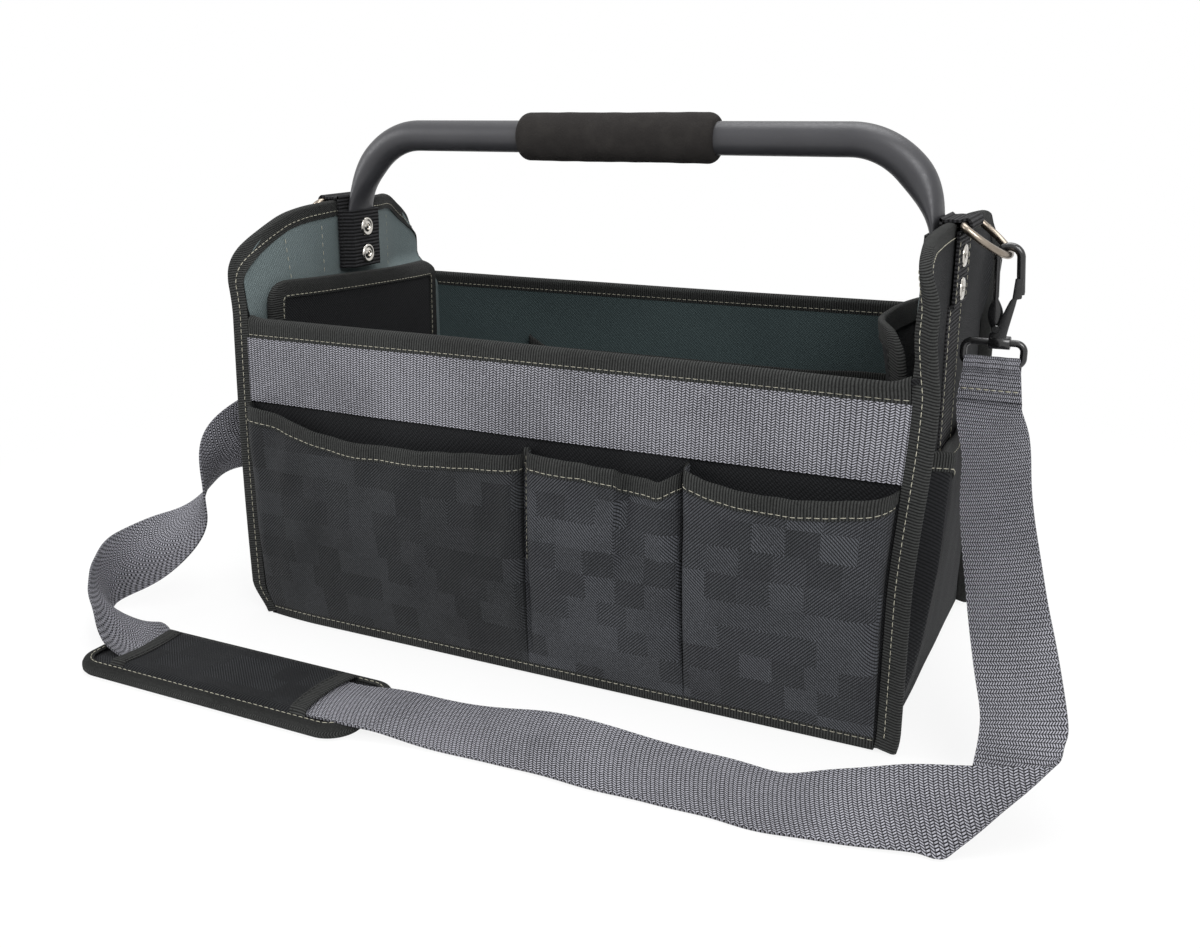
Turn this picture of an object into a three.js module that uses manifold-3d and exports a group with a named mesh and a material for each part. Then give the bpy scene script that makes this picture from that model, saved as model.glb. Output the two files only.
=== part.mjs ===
// Open-top tool bag with a steel carrying handle, outside and inside pockets,
// and a removable padded shoulder strap on two sprung snap hooks.
// Millimetres. +X along the bag, -Y the front, +Z up, origin on the floor under its middle.
import * as THREE from 'three';
import { mergeVertices } from 'three/addons/utils/BufferGeometryUtils.js';
import Module from 'manifold-3d';

const wasm = await Module();
wasm.setup();

// Driving dimensions of the sewn body
const bagLength = 460;        // between the outer faces of the two end panels
const bagDepth = 254;         // between the outer faces of the front and back panels
const wallHeight = 225;       // top edge of the front and back panels
const archHeight = 299;       // crown of the end panels
const shoulderRun = 65;       // width of an end panel's round shoulder
const shoulderDrop = 48;      // height of the same shoulder
const wallThickness = 3.5;    // front and back panel, fabric over board
const endThickness = 4;       // end panel, fabric over board
const liningThickness = 1.2;
const baseThickness = 2.5;
const boardThickness = 3.2;
const wallLift = 2;           // the walls stop just above the floor, inside their binding
const flange = 8;             // sewn edge of the front and back panels past the end panels
const clearance = 0.3;        // between pieces that are sewn or pressed together

// Sewn trim and pockets
const tape = 1.2;             // thickness of the binding tape
const topTapeDrop = 14;
const cornerTapeWidth = 15.3;
const archTapeDrop = 12;
const bottomTapeRise = 9.6;
const webbingThickness = 1.8;
const bandHeight = 45.2;
const pocketThickness = 1.6;
const pocketSeam = 1;         // gap between neighbouring front pockets
const frontSeams = [-4, 101.5];
const endPocketHalf = 108;
const endPocketTop = 166;
const endPocketDepth = 10;
const endPocketFoot = 14;
const innerPocketHalf = 108;
const innerPocketTop = 242;
const innerPocketFoot = 30;
const innerPocketLean = 11;
const innerPocketThickness = 2.4;
const innerPocketCorner = 14;
const backPocketFrom = -133;
const backPocketTo = 203;
const backPocketTop = 171;
const backPocketDepth = 6;
const backPocketFoot = 12;

// Handle
const tubeRadius = 11;
const tubeWall = 1.4;
const handleHeight = 345.5;   // centreline of the straight top
const handleBendRun = 57;
const handleBendBase = 280;
const footHalfWidth = 15.5;   // the tube's ends are pressed flat
const footHalfThickness = 3.5;
const footBottom = 248.5;
const footTop = 285;
const roundFrom = 328;
const gripRadius = 16.5;
const gripLength = 145;
const gripEndRound = 5;
const rivetHeights = [277, 256.5];
const rivetShank = 2.5;
const rivetHead = 6;
const rivetHeadThickness = 1.5;
const sleeveBottom = 247;
const sleeveTop = 290;
const tabHalfWidth = 23.5;

// Ring, hook and shoulder strap
const ringWire = 2.25;
const ringHalfWidth = 26.5;
const ringLength = 30.7;
const ringCorner = 4;
const ringHang = 37;          // degrees below level at rest
const barReach = 5.5;         // bar centre outside the end panel
const barHeight = 297;
const hookBend = 6.8;
const hookWire = 2.5;
const hookSpine = 22;
const plateFront = -3;
const plateThickness = 2.2;
const eyeDrop = 52;
const eyeOuter = 4.2;
const gateWire = 2;
const gateOffset = 1.5;
const gateTop = -3.4;
const lensTop = -24;
const lensHalfWidth = 4.8;
const gatePivot = new THREE.Vector2(-4, -43.5);
const pinRadius = 1.5;
const pinHead = 2.6;
const loopWire = 2.2;
const loopHalfWidth = 19;
const loopDrop = 14;
const loopOffset = -4.4;
const loopCorner = 5;
const strapThickness = 1.6;
const strapHalfWidth = 24;
const tailLength = 23;
const padCentre = new THREE.Vector2(-173, -227);
const padHalfLength = 111;
const padHalfWidth = 35;
const padCorner = 26;
const padThickness = 7.5;
const sleeveHalfLength = 82;

// Places that follow from the sizes
const endX = bagLength / 2;
const frontY = bagDepth / 2;
const endInner = endX - endThickness;
const wallInner = frontY - wallThickness;
const liningX = endInner - clearance - liningThickness;
const liningY = wallInner - clearance - liningThickness;
const bandTop = wallHeight - topTapeDrop - clearance;
const seamX = endX - 5.8;     // inner edge of the corner tapes
const tapeX = seamX - clearance;
const archTapeOuter = archHeight + clearance + tape;
const tabInnerX = liningX - clearance - tape - clearance - webbingThickness / 2;
const footX = tabInnerX - webbingThickness / 2 - clearance - footHalfThickness;
const sleeveX = footX - footHalfThickness - 1.8 - webbingThickness / 2;
const sleeveEdgeX = tabInnerX - webbingThickness - clearance;
const tabOuterX = endX + clearance + tape + clearance + webbingThickness / 2;
const barX = endX + barReach;
const hang = THREE.MathUtils.degToRad(ringHang);
const apex = new THREE.Vector2(barX + ringLength * Math.cos(hang), barHeight - ringLength * Math.sin(hang));
const hookCentre = new THREE.Vector2(apex.x, apex.y - (hookBend - hookWire - ringWire - clearance));
const loopCentreX = hookCentre.x + loopOffset;
const loopTopZ = hookCentre.y - eyeDrop;
const loopLowZ = loopTopZ - loopDrop;
const tailZ = loopLowZ - tailLength;

const bag = new THREE.Group();

// Adds one named piece with its own material.
function piece(name, geometry, look) {
  const mesh = new THREE.Mesh(geometry, new THREE.MeshStandardMaterial(look));
  mesh.name = name;
  bag.add(mesh);
  return mesh;
}

const looks = {
  shell: { color: 0x1d1e20, roughness: 0.9, metalness: 0 },
  pocket: { color: 0x25272c, roughness: 0.85, metalness: 0 },
  tape: { color: 0x1a1b1b, roughness: 0.95, metalness: 0 },
  lining: { color: 0x566a68, roughness: 0.9, metalness: 0 },
  board: { color: 0x2a2b2b, roughness: 0.9, metalness: 0 },
  webbing: { color: 0x6d6d71, roughness: 0.85, metalness: 0 },
  blackWebbing: { color: 0x1b1b1c, roughness: 0.95, metalness: 0 },
  tube: { color: 0x434346, roughness: 0.5, metalness: 0.4 },
  foam: { color: 0x2f2d2c, roughness: 0.98, metalness: 0 },
  nickel: { color: 0xb9b2a8, roughness: 0.25, metalness: 1 },
  blackSteel: { color: 0x2b2b2d, roughness: 0.45, metalness: 0.6 },
};

// A closed body from points and triangles, turned to face outwards.
function body(points, triangles) {
  let volume = 0;
  const cross = new THREE.Vector3();
  for (const [a, b, c] of triangles) {
    volume += points[a].dot(cross.crossVectors(points[b], points[c]));
  }
  const order = volume < 0 ? triangles.map(([a, b, c]) => [a, c, b]) : triangles;
  const geometry = new THREE.BufferGeometry();
  geometry.setAttribute('position', new THREE.Float32BufferAttribute(points.flatMap((p) => p.toArray()), 3));
  geometry.setIndex(order.flat());
  return geometry;
}

// Boolean work on closed geometries
function solid(geometry) {
  const plain = geometry.clone();
  plain.deleteAttribute('normal');
  plain.deleteAttribute('uv');
  const merged = mergeVertices(plain, 1e-4);
  const mesh = new wasm.Mesh({
    numProp: 3,
    vertProperties: new Float32Array(merged.attributes.position.array),
    triVerts: new Uint32Array(merged.index.array),
  });
  return new wasm.Manifold(mesh);
}

function fromSolid(manifold) {
  const mesh = manifold.getMesh();
  const geometry = new THREE.BufferGeometry();
  geometry.setAttribute('position', new THREE.Float32BufferAttribute(mesh.vertProperties, 3));
  geometry.setIndex([...mesh.triVerts]);
  return geometry;
}

function join(...geometries) {
  return fromSolid(geometries.map(solid).reduce((a, b) => a.add(b)));
}

function cut(geometry, ...tools) {
  return fromSolid(tools.map(solid).reduce((a, b) => a.subtract(b), solid(geometry)));
}

// Mirrors a closed geometry to the bag's left end.
function mirrored(geometry) {
  const flipped = geometry.index ? geometry.toNonIndexed() : geometry.clone();
  const position = flipped.attributes.position;
  const points = [];
  for (let i = 0; i < position.count; i += 1) {
    points.push(new THREE.Vector3().fromBufferAttribute(position, i).multiply(new THREE.Vector3(-1, 1, 1)));
  }
  const triangles = [];
  for (let i = 0; i < points.length; i += 3) {
    triangles.push([i, i + 2, i + 1]);
  }
  return mergeVertices(body(points, triangles), 1e-4);
}

// Prisms along each axis. Shapes are drawn in YZ, XZ and XY.
function alongX(shape, x0, x1, curveSegments = 7) {
  const geometry = new THREE.ExtrudeGeometry(shape, { depth: x1 - x0, bevelEnabled: false, curveSegments });
  const axes = new THREE.Matrix4().makeBasis(
    new THREE.Vector3(0, 1, 0),
    new THREE.Vector3(0, 0, 1),
    new THREE.Vector3(1, 0, 0),
  );
  return geometry.applyMatrix4(axes).translate(x0, 0, 0);
}

function alongY(shape, y0, y1, curveSegments = 8) {
  const geometry = new THREE.ExtrudeGeometry(shape, { depth: y1 - y0, bevelEnabled: false, curveSegments });
  return geometry.rotateX(Math.PI / 2).translate(0, y1, 0);
}

function alongZ(shape, z0, z1, curveSegments = 8) {
  const geometry = new THREE.ExtrudeGeometry(shape, { depth: z1 - z0, bevelEnabled: false, curveSegments });
  return geometry.translate(0, 0, z0);
}

function block(x0, x1, y0, y1, z0, z1) {
  const geometry = new THREE.BoxGeometry(x1 - x0, y1 - y0, z1 - z0);
  return geometry.translate((x0 + x1) / 2, (y0 + y1) / 2, (z0 + z1) / 2);
}

function outline(...points) {
  return new THREE.Shape(points.map(([a, b]) => new THREE.Vector2(a, b)));
}

// The outline of a strip of even thickness that follows a bent line.
function strip(line, thickness) {
  const half = thickness / 2;
  const offset = (side) => line.map((point, i) => {
    const before = line[Math.max(i - 1, 0)];
    const after = line[Math.min(i + 1, line.length - 1)];
    const into = point.clone().sub(before).normalize();
    const out = after.clone().sub(point).normalize();
    if (i === 0) into.copy(out);
    if (i === line.length - 1) out.copy(into);
    const bisector = into.clone().add(out).normalize();
    const reach = half / Math.max(bisector.dot(out), 0.5);
    return new THREE.Vector2(-bisector.y, bisector.x).multiplyScalar(side * reach).add(point);
  });
  return new THREE.Shape([...offset(1), ...offset(-1).reverse()]);
}

// A round or flattened wire along points in one plane, open with flat ends or closed on itself.
function wire(points, planeNormal, section, sides, closed) {
  const count = points.length;
  const vertices = [];
  points.forEach((point, i) => {
    const before = points[closed ? (i + count - 1) % count : Math.max(i - 1, 0)];
    const after = points[closed ? (i + 1) % count : Math.min(i + 1, count - 1)];
    const along = after.clone().sub(before).normalize();
    const side = new THREE.Vector3().crossVectors(planeNormal, along).normalize();
    const [across, through] = section(i);
    for (let k = 0; k < sides; k += 1) {
      const angle = (2 * Math.PI * (k + 0.5)) / sides;
      vertices.push(point.clone()
        .addScaledVector(side, through * Math.cos(angle))
        .addScaledVector(planeNormal, across * Math.sin(angle)));
    }
  });
  const triangles = [];
  const rings = closed ? count : count - 1;
  for (let i = 0; i < rings; i += 1) {
    const here = i * sides;
    const next = ((i + 1) % count) * sides;
    for (let k = 0; k < sides; k += 1) {
      const l = (k + 1) % sides;
      triangles.push([here + k, here + l, next + l], [here + k, next + l, next + k]);
    }
  }
  if (!closed) {
    const last = (count - 1) * sides;
    for (let k = 1; k < sides - 1; k += 1) {
      triangles.push([0, k + 1, k], [last, last + k, last + k + 1]);
    }
  }
  return body(vertices, triangles);
}

// A thick sheet over a grid: place(u, v, side) gives a point of its back (0) or front (1) face.
function sheet(columns, rows, place) {
  const vertices = [];
  for (const side of [0, 1]) {
    for (let j = 0; j <= rows; j += 1) {
      for (let i = 0; i <= columns; i += 1) {
        vertices.push(place(i / columns, j / rows, side));
      }
    }
  }
  const width = columns + 1;
  const layer = width * (rows + 1);
  const triangles = [];
  const quad = (a, b, c, d) => triangles.push([a, b, c], [a, c, d]);
  for (let j = 0; j < rows; j += 1) {
    for (let i = 0; i < columns; i += 1) {
      const a = j * width + i;
      quad(a, a + 1, a + 1 + width, a + width);
      quad(layer + a, layer + a + width, layer + a + 1 + width, layer + a + 1);
    }
  }
  for (let i = 0; i < columns; i += 1) {
    const top = rows * width + i;
    quad(i + 1, i, layer + i, layer + i + 1);
    quad(top, top + 1, layer + top + 1, layer + top);
  }
  for (let j = 0; j < rows; j += 1) {
    const left = j * width;
    const right = left + columns;
    quad(left, left + width, layer + left + width, layer + left);
    quad(right + width, right, layer + right, layer + right + width);
  }
  return body(vertices, triangles);
}

// A webbing strap through pairs of points on its two edges.
function ribbon(pairs, thickness) {
  const vertices = [];
  pairs.forEach(([a, b], i) => {
    const before = pairs[Math.max(i - 1, 0)];
    const after = pairs[Math.min(i + 1, pairs.length - 1)];
    const along = after[0].clone().add(after[1]).sub(before[0]).sub(before[1]);
    const face = new THREE.Vector3().crossVectors(along, b.clone().sub(a)).normalize();
    for (const [edge, sign] of [[a, -1], [b, -1], [b, 1], [a, 1]]) {
      vertices.push(edge.clone().addScaledVector(face, (sign * thickness) / 2));
    }
  });
  const triangles = [];
  for (let i = 0; i < pairs.length - 1; i += 1) {
    for (let k = 0; k < 4; k += 1) {
      const a = i * 4 + k;
      const b = i * 4 + ((k + 1) % 4);
      triangles.push([a, b, b + 4], [a, b + 4, a + 4]);
    }
  }
  const last = (pairs.length - 1) * 4;
  triangles.push([0, 2, 1], [0, 3, 2], [last, last + 1, last + 2], [last, last + 2, last + 3]);
  return body(vertices, triangles);
}

// The end panel's outline: straight sides and two round shoulders, grown or shrunk by an amount.
function archShape(grow, foot) {
  const half = wallInner - clearance + grow;
  const top = archHeight + grow;
  const run = shoulderRun + grow;
  const drop = shoulderDrop + grow;
  const shape = new THREE.Shape();
  shape.moveTo(-half, foot);
  shape.lineTo(half, foot);
  shape.lineTo(half, top - drop);
  shape.absellipse(half - run, top - drop, run, drop, 0, Math.PI / 2, false, 0);
  shape.absellipse(-half + run, top - drop, run, drop, Math.PI / 2, Math.PI, false, 0);
  shape.closePath();
  return shape;
}

// Turns a piece made for the front wall to the back wall.
function turned(geometry) {
  return geometry.clone().rotateZ(Math.PI);
}

// Rivet through the sleeve, the handle's foot, the end panel and the ring tab
const rivetInner = sleeveX - webbingThickness / 2 - clearance;
const rivetOuter = tabOuterX + webbingThickness / 2 + clearance;

function rivet(z) {
  const x0 = rivetInner - rivetHeadThickness;
  const x1 = rivetOuter + rivetHeadThickness;
  const dish = 0.7;
  const profile = [
    [0, x0 + dish], [rivetHead * 0.45, x0 + dish], [rivetHead * 0.6, x0], [rivetHead * 0.85, x0],
    [rivetHead, rivetInner], [rivetShank, rivetInner], [rivetShank, rivetOuter], [rivetHead, rivetOuter],
    [rivetHead * 0.85, x1], [rivetHead * 0.6, x1], [rivetHead * 0.45, x1 - dish], [0, x1 - dish],
  ];
  return latheX(profile, 10).translate(0, 0, z);
}

// A turned piece about an X axis, from (radius, x) points.
function latheX(profile, segments) {
  const points = profile.map(([radius, x]) => new THREE.Vector2(radius, x));
  return new THREE.LatheGeometry(points, segments).rotateZ(-Math.PI / 2);
}

function rodX(radius, x0, x1, z, sides = 10) {
  return new THREE.CylinderGeometry(radius, radius, x1 - x0, sides)
    .rotateZ(Math.PI / 2).translate((x0 + x1) / 2, 0, z);
}

function rodY(radius, y0, y1, x, z, sides = 12) {
  return new THREE.CylinderGeometry(radius, radius, y1 - y0, sides).translate(x, (y0 + y1) / 2, z);
}

const rivetHoles = rivetHeights.map((z) => rodX(rivetShank + clearance, 0, endX + 40, z));

// Sewn body: base, walls and ends
piece('base_panel', block(
  -endInner + clearance, endInner - clearance,
  -wallInner + clearance, wallInner - clearance,
  0, baseThickness,
), looks.shell);
const boardZ = baseThickness + clearance;
const boardX = liningX - clearance;
const boardY = liningY - clearance;
piece('base_board', block(-boardX, boardX, -boardY, boardY, boardZ, boardZ + boardThickness), looks.board);

const flangeX = endX + flange;
const frontPanel = block(-flangeX, flangeX, -frontY, -wallInner, wallLift, wallHeight);
const liningFoot = boardZ;
const liningEnd = endInner - clearance;
const frontLining = block(
  -liningEnd, liningEnd,
  -wallInner + clearance, -liningY,
  liningFoot, wallHeight,
);
const endPanel = cut(alongX(archShape(0, wallLift), endInner, endX), ...rivetHoles);
const liningHalf = liningY - clearance;
const endLining = cut(
  fromSolid(solid(alongX(archShape(0, liningFoot), liningX, endInner - clearance))
    .intersect(solid(block(0, endX, -liningHalf, liningHalf, 0, archHeight + 1)))),
  ...rivetHoles,
);

// Binding tapes folded over the raw edges
function topTape() {
  const y0 = -frontY - clearance - tape;
  const y1 = -liningY + clearance + tape;
  const top = wallHeight + clearance + tape;
  const drop = wallHeight - topTapeDrop;
  const section = outline(
    [y0, drop], [y0 + tape, drop], [y0 + tape, top - tape], [y1 - tape, top - tape],
    [y1 - tape, drop], [y1, drop], [y1, top], [y0, top],
  );
  return alongX(section, -tapeX + clearance + tape, tapeX - clearance - tape);
}

function bottomTape() {
  const y0 = -frontY - clearance - tape;
  const rise = wallLift - clearance;
  const low = rise - tape;
  const section = outline(
    [y0, low], [-wallInner, low], [-wallInner, rise], [y0 + tape, rise],
    [y0 + tape, bottomTapeRise], [y0, bottomTapeRise],
  );
  return alongX(section, -tapeX, tapeX);
}

// One end's tape: a fold over each sewn corner flange, and a fold over the arch above them.
function endTape() {
  const y0 = frontY + clearance + tape;
  const y1 = wallInner - clearance - tape;
  const edge = flangeX + clearance + tape;
  const top = wallHeight + clearance + tape;
  const archFoot = top + clearance;
  const corner = (sign) => {
    const fold = outline(
      [seamX, sign * y0], [edge, sign * y0], [edge, sign * y1], [endX + clearance, sign * y1],
      [endX + clearance, sign * (y1 + tape)], [edge - tape, sign * (y1 + tape)],
      [edge - tape, sign * (y0 - tape)], [seamX, sign * (y0 - tape)],
    );
    const tongue = block(
      endX + clearance, edge,
      Math.min(sign * y1, sign * (y1 + tape)), Math.max(sign * y1, sign * (y1 + tape)),
      wallHeight, archFoot + 6,
    );
    return join(alongZ(fold, wallLift, top), tongue);
  };
  const ring = archShape(clearance + tape, archFoot);
  const window = new THREE.Path(archShape(-archTapeDrop, archFoot - 1).getPoints(7));
  const x0 = liningX - clearance - tape;
  const x1 = endX + clearance + tape;
  const arch = cut(
    alongX(ring, x0, x1),
    alongX(new THREE.Shape(window.getPoints()), x0 - 1, x1 + 1),
    alongX(archShape(clearance, archFoot - 1), x0 + tape, x1 - tape),
  );
  return join(arch, corner(-1), corner(1));
}

const frontTopTape = topTape();
const frontBottomTape = bottomTape();
const endBinding = endTape();
const band = block(-tapeX, tapeX, -frontY - clearance - webbingThickness, -frontY - clearance, bandTop - bandHeight, bandTop);

// Patch pockets. A pocket lies on a wall at y = 0 that faces -Y and swells away from it.
function pocket({ x0, x1, foot, top, depth, columns, rows, thickness = pocketThickness }) {
  return sheet(columns, rows, (u, v, side) => {
    const z = foot + (top(u) - foot) * v;
    const rise = 1 - (1 - v) ** 3;
    const sides = 1 - Math.abs(2 * u - 1) ** 6;
    const out = clearance + depth * rise * sides + side * thickness;
    return new THREE.Vector3(x0 + (x1 - x0) * u, -out, z);
  });
}

const pocketFoot = bottomTapeRise + clearance;
const smooth = (t) => t * t * (3 - 2 * t);
const clamp01 = (t) => Math.min(Math.max(t, 0), 1);
const frontPockets = {
  wide: {
    x0: -tapeX, x1: frontSeams[0] - pocketSeam / 2, depth: 10, columns: 12, rows: 5,
    top: (u) => 163 - 15 * smooth(clamp01(u / 0.42)) + 6 * smooth(clamp01((u - 0.6) / 0.4)),
  },
  middle: {
    x0: frontSeams[0] + pocketSeam / 2, x1: frontSeams[1] - pocketSeam / 2, depth: 12, columns: 10, rows: 5,
    top: (u) => 157 - 4.5 * smooth(clamp01(u / 0.7)),
  },
  narrow: {
    x0: frontSeams[1] + pocketSeam / 2, x1: tapeX, depth: 15, columns: 10, rows: 5,
    top: (u) => 147 + 14 * Math.abs(2 * u - 1) ** 2.5,
  },
};

// Handle: a bent steel tube with flattened feet, and a foam grip round its middle
function handlePath() {
  const points = [];
  const centre = footX - handleBendRun;
  const rise = handleHeight - handleBendBase;
  for (const z of [footBottom, 266]) {
    points.push(new THREE.Vector3(footX, 0, z));
  }
  const bendSteps = 10;
  for (let i = 0; i <= bendSteps; i += 1) {
    const angle = (Math.PI / 2) * (i / bendSteps);
    points.push(new THREE.Vector3(centre + handleBendRun * Math.cos(angle), 0, handleBendBase + rise * Math.sin(angle)));
  }
  const mirror = points.map((p) => new THREE.Vector3(-p.x, 0, p.z)).reverse();
  return [...points, ...mirror];
}

function handleTube() {
  const points = handlePath();
  const section = (shrink) => (i) => {
    const t = smooth(clamp01((points[i].z - footTop) / (roundFrom - footTop)));
    return [
      THREE.MathUtils.lerp(footHalfWidth, tubeRadius, t) - shrink,
      THREE.MathUtils.lerp(footHalfThickness, tubeRadius, t) - shrink,
    ];
  };
  const across = new THREE.Vector3(0, 1, 0);
  const sides = 12;
  const bore = points.map((p) => p.clone());
  bore[0].z -= 1;
  bore[bore.length - 1].z -= 1;
  const tube = cut(
    wire(points, across, section(0), sides, false),
    wire(bore, across, section(tubeWall), sides, false),
  );
  const otherHoles = rivetHeights.map((z) => rodX(rivetShank + clearance, -endX - 40, 0, z));
  return cut(tube, ...rivetHoles, ...otherHoles);
}

function grip() {
  const half = gripLength / 2;
  const bore = tubeRadius + clearance;
  const profile = [[bore, -half], [gripRadius - gripEndRound, -half]];
  for (const side of [-1, 1]) {
    for (let i = 0; i <= 4; i += 1) {
      const angle = (Math.PI / 2) * (side < 0 ? 1 - i / 4 : i / 4);
      profile.push([
        gripRadius - gripEndRound + gripEndRound * Math.cos(angle),
        side * (half - gripEndRound + gripEndRound * Math.sin(angle)),
      ]);
    }
  }
  profile.push([bore, half], [bore, -half]);
  return latheX(profile, 16).translate(0, 0, handleHeight);
}

// Webbing sleeve that holds a flattened foot against the end panel
function handleSleeve() {
  const line = [
    [sleeveEdgeX, -tabHalfWidth], [sleeveEdgeX, -footHalfWidth - 4], [sleeveX, -footHalfWidth - 2.2],
    [sleeveX, footHalfWidth + 2.2], [sleeveEdgeX, footHalfWidth + 4], [sleeveEdgeX, tabHalfWidth],
  ].map(([x, y]) => new THREE.Vector2(x, y));
  return cut(alongZ(strip(line, webbingThickness), sleeveBottom, sleeveTop), ...rivetHoles);
}

// Webbing tab from behind the foot over the arch, round the ring's bar and down the outside
function ringTab() {
  const top = archTapeOuter + clearance + webbingThickness / 2;
  const loop = ringWire + 0.8 + webbingThickness / 2;
  const line = [
    [tabInnerX, sleeveBottom], [tabInnerX, top - 0.6], [tabInnerX + 0.6, top], [barX - 2.4, top + 0.3],
  ].map(([x, z]) => new THREE.Vector2(x, z));
  for (let i = 0; i <= 5; i += 1) {
    const angle = Math.PI / 2 - (i / 5) * 3.6;
    line.push(new THREE.Vector2(barX + loop * Math.cos(angle), barHeight + loop * Math.sin(angle)));
  }
  line.push(new THREE.Vector2(tabOuterX, barHeight - loop - 4), new THREE.Vector2(tabOuterX, sleeveBottom));
  return cut(alongY(strip(line, webbingThickness), -tabHalfWidth, tabHalfWidth), ...rivetHoles);
}

// Ring in the tab: a straight bar and a bow, hung below level
function dRing() {
  const points = [];
  const bow = ringLength - ringCorner;
  const flat = ringHalfWidth - ringCorner;
  const add = (y, d) => points.push(new THREE.Vector3(
    barX + d * Math.cos(hang), y, barHeight - d * Math.sin(hang),
  ));
  for (const y of [-flat, -flat / 3, flat / 3]) add(y, 0);
  for (let i = 0; i < 4; i += 1) {
    const angle = (Math.PI / 2) * (i / 4);
    add(flat + ringCorner * Math.sin(angle), ringCorner * (1 - Math.cos(angle)));
  }
  const bowSteps = 16;
  for (let i = 0; i <= bowSteps; i += 1) {
    const angle = (Math.PI * i) / bowSteps;
    add(ringHalfWidth * Math.cos(angle), ringCorner + bow * Math.sin(angle));
  }
  for (let i = 3; i > 0; i -= 1) {
    const angle = (Math.PI / 2) * (i / 4);
    add(-flat - ringCorner * Math.sin(angle), ringCorner * (1 - Math.cos(angle)));
  }
  const normal = new THREE.Vector3(Math.sin(hang), 0, Math.cos(hang));
  return wire(points, normal, () => [ringWire, ringWire], 8, true);
}

// Snap hook, drawn about the centre of its bend in the XZ plane
function atHook(geometry) {
  return geometry.translate(hookCentre.x, 0, hookCentre.y);
}

function hook() {
  const bend = [new THREE.Vector3(-hookBend, 0, -1.4)];
  for (let i = 0; i <= 10; i += 1) {
    const angle = Math.PI * (1 - i / 10);
    bend.push(new THREE.Vector3(hookBend * Math.cos(angle), 0, hookBend * Math.sin(angle)));
  }
  bend.push(new THREE.Vector3(hookBend + 1.6, 0, -hookSpine));
  const wireBend = wire(bend, new THREE.Vector3(0, 1, 0), () => [hookWire, hookWire], 10, false);
  const plateOutline = outline(
    [5.2, -12], [10.2, -12], [10.9, -hookSpine], [5.4, -48], [5.2, -50.4], [-7.4, -50.4],
    [-7.6, -42], [-6.2, -39.6], [-1.6, -37.5], [1.6, -26], [4.6, -16],
  );
  const plate = alongY(plateOutline, plateFront, plateFront + plateThickness);
  const eye = rodX(eyeOuter, -7.4, 5.2, -eyeDrop);
  const bore = rodX(loopWire + clearance, -20, 20, -eyeDrop);
  const pinHole = rodY(pinRadius + clearance, -20, 0, gatePivot.x, gatePivot.y);
  return atHook(cut(join(wireBend, plate, eye), bore, pinHole));
}

const gateFront = plateFront + plateThickness + clearance;
const gateBack = gateFront + 2 * gateWire;

function gate() {
  const middle = (gateFront + gateBack) / 2;
  const barFoot = new THREE.Vector3(-5.2, middle, -30);
  const barTop = new THREE.Vector3(-hookBend, middle, gateTop);
  const bar = wire([barFoot, barTop], new THREE.Vector3(0, 1, 0), () => [gateWire, gateWire], 10, false);
  const lens = new THREE.Shape();
  const foot = gatePivot.y - 3;
  lens.moveTo(-5.4, lensTop);
  lens.quadraticCurveTo(-5 - 2 * lensHalfWidth, (lensTop + foot) / 2, gatePivot.x - 1.5, foot);
  lens.lineTo(gatePivot.x + 1.5, foot);
  lens.quadraticCurveTo(-4.4 + 2 * lensHalfWidth, (lensTop + foot) / 2, -5.4, lensTop);
  const pad = alongY(lens, gateFront, gateBack, 10);
  const dish = new THREE.SphereGeometry(1, 14, 10).scale(2.4, 1.6, 6).translate(-5, gateBack, -34);
  const pinHole = rodY(pinRadius + clearance, -20, 20, gatePivot.x, gatePivot.y);
  return atHook(cut(join(bar, pad), dish, pinHole));
}

const springThickness = 0.6;
const springFront = gateBack + clearance;
const springBack = springFront + springThickness;

function gatePin() {
  const front = plateFront - clearance;
  const back = springBack + clearance;
  const profile = [
    [0, front - 0.9], [pinHead * 0.8, front - 0.9], [pinHead, front], [pinRadius, front],
    [pinRadius, back], [pinHead, back], [pinHead * 0.8, back + 0.9], [0, back + 0.9],
  ];
  const points = profile.map(([radius, y]) => new THREE.Vector2(radius, y));
  return atHook(new THREE.LatheGeometry(points, 12).translate(gatePivot.x, 0, gatePivot.y));
}

// Leaf spring behind the gate
function gateSpring() {
  const leaf = outline(
    [gatePivot.x - 3, gatePivot.y - 2.8], [gatePivot.x + 3, gatePivot.y - 2.8],
    [gatePivot.x + 2.6, gatePivot.y + 5], [gatePivot.x + 0.6, gatePivot.y + 13],
    [gatePivot.x - 1.4, gatePivot.y + 13], [gatePivot.x - 3, gatePivot.y + 5],
  );
  const plate = alongY(leaf, springFront, springBack);
  return atHook(cut(plate, rodY(pinRadius + clearance, -20, 20, gatePivot.x, gatePivot.y)));
}

// Oblong loop of wire between the hook and the strap
function strapLoop() {
  const points = [];
  const corners = [[1, -1, 0], [1, 1, 1], [-1, 1, 2], [-1, -1, 3]];
  for (const [sx, sz, quarter] of corners) {
    const cx = loopCentreX + sx * (loopHalfWidth - loopCorner);
    const cz = (loopTopZ + loopLowZ) / 2 + sz * (loopDrop / 2 - loopCorner);
    for (let i = 0; i <= 4; i += 1) {
      const angle = (Math.PI / 2) * (quarter - 1 + i / 4);
      points.push(new THREE.Vector3(cx + loopCorner * Math.cos(angle), 0, cz + loopCorner * Math.sin(angle)));
    }
  }
  return wire(points, new THREE.Vector3(0, 1, 0), () => [loopWire, loopWire], 8, true);
}

// Sewn end of the strap: doubled round the loop's lower bar, drawn in to fit it
const tailBend = loopWire + 1.1 + strapThickness / 2;
const tailFaces = strapThickness / 2 + 0.2;

function tailHalfWidth(z) {
  const narrow = loopHalfWidth - loopWire - 0.6;
  return narrow + 4.6 * clamp01((loopLowZ - z) / tailLength);
}

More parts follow.
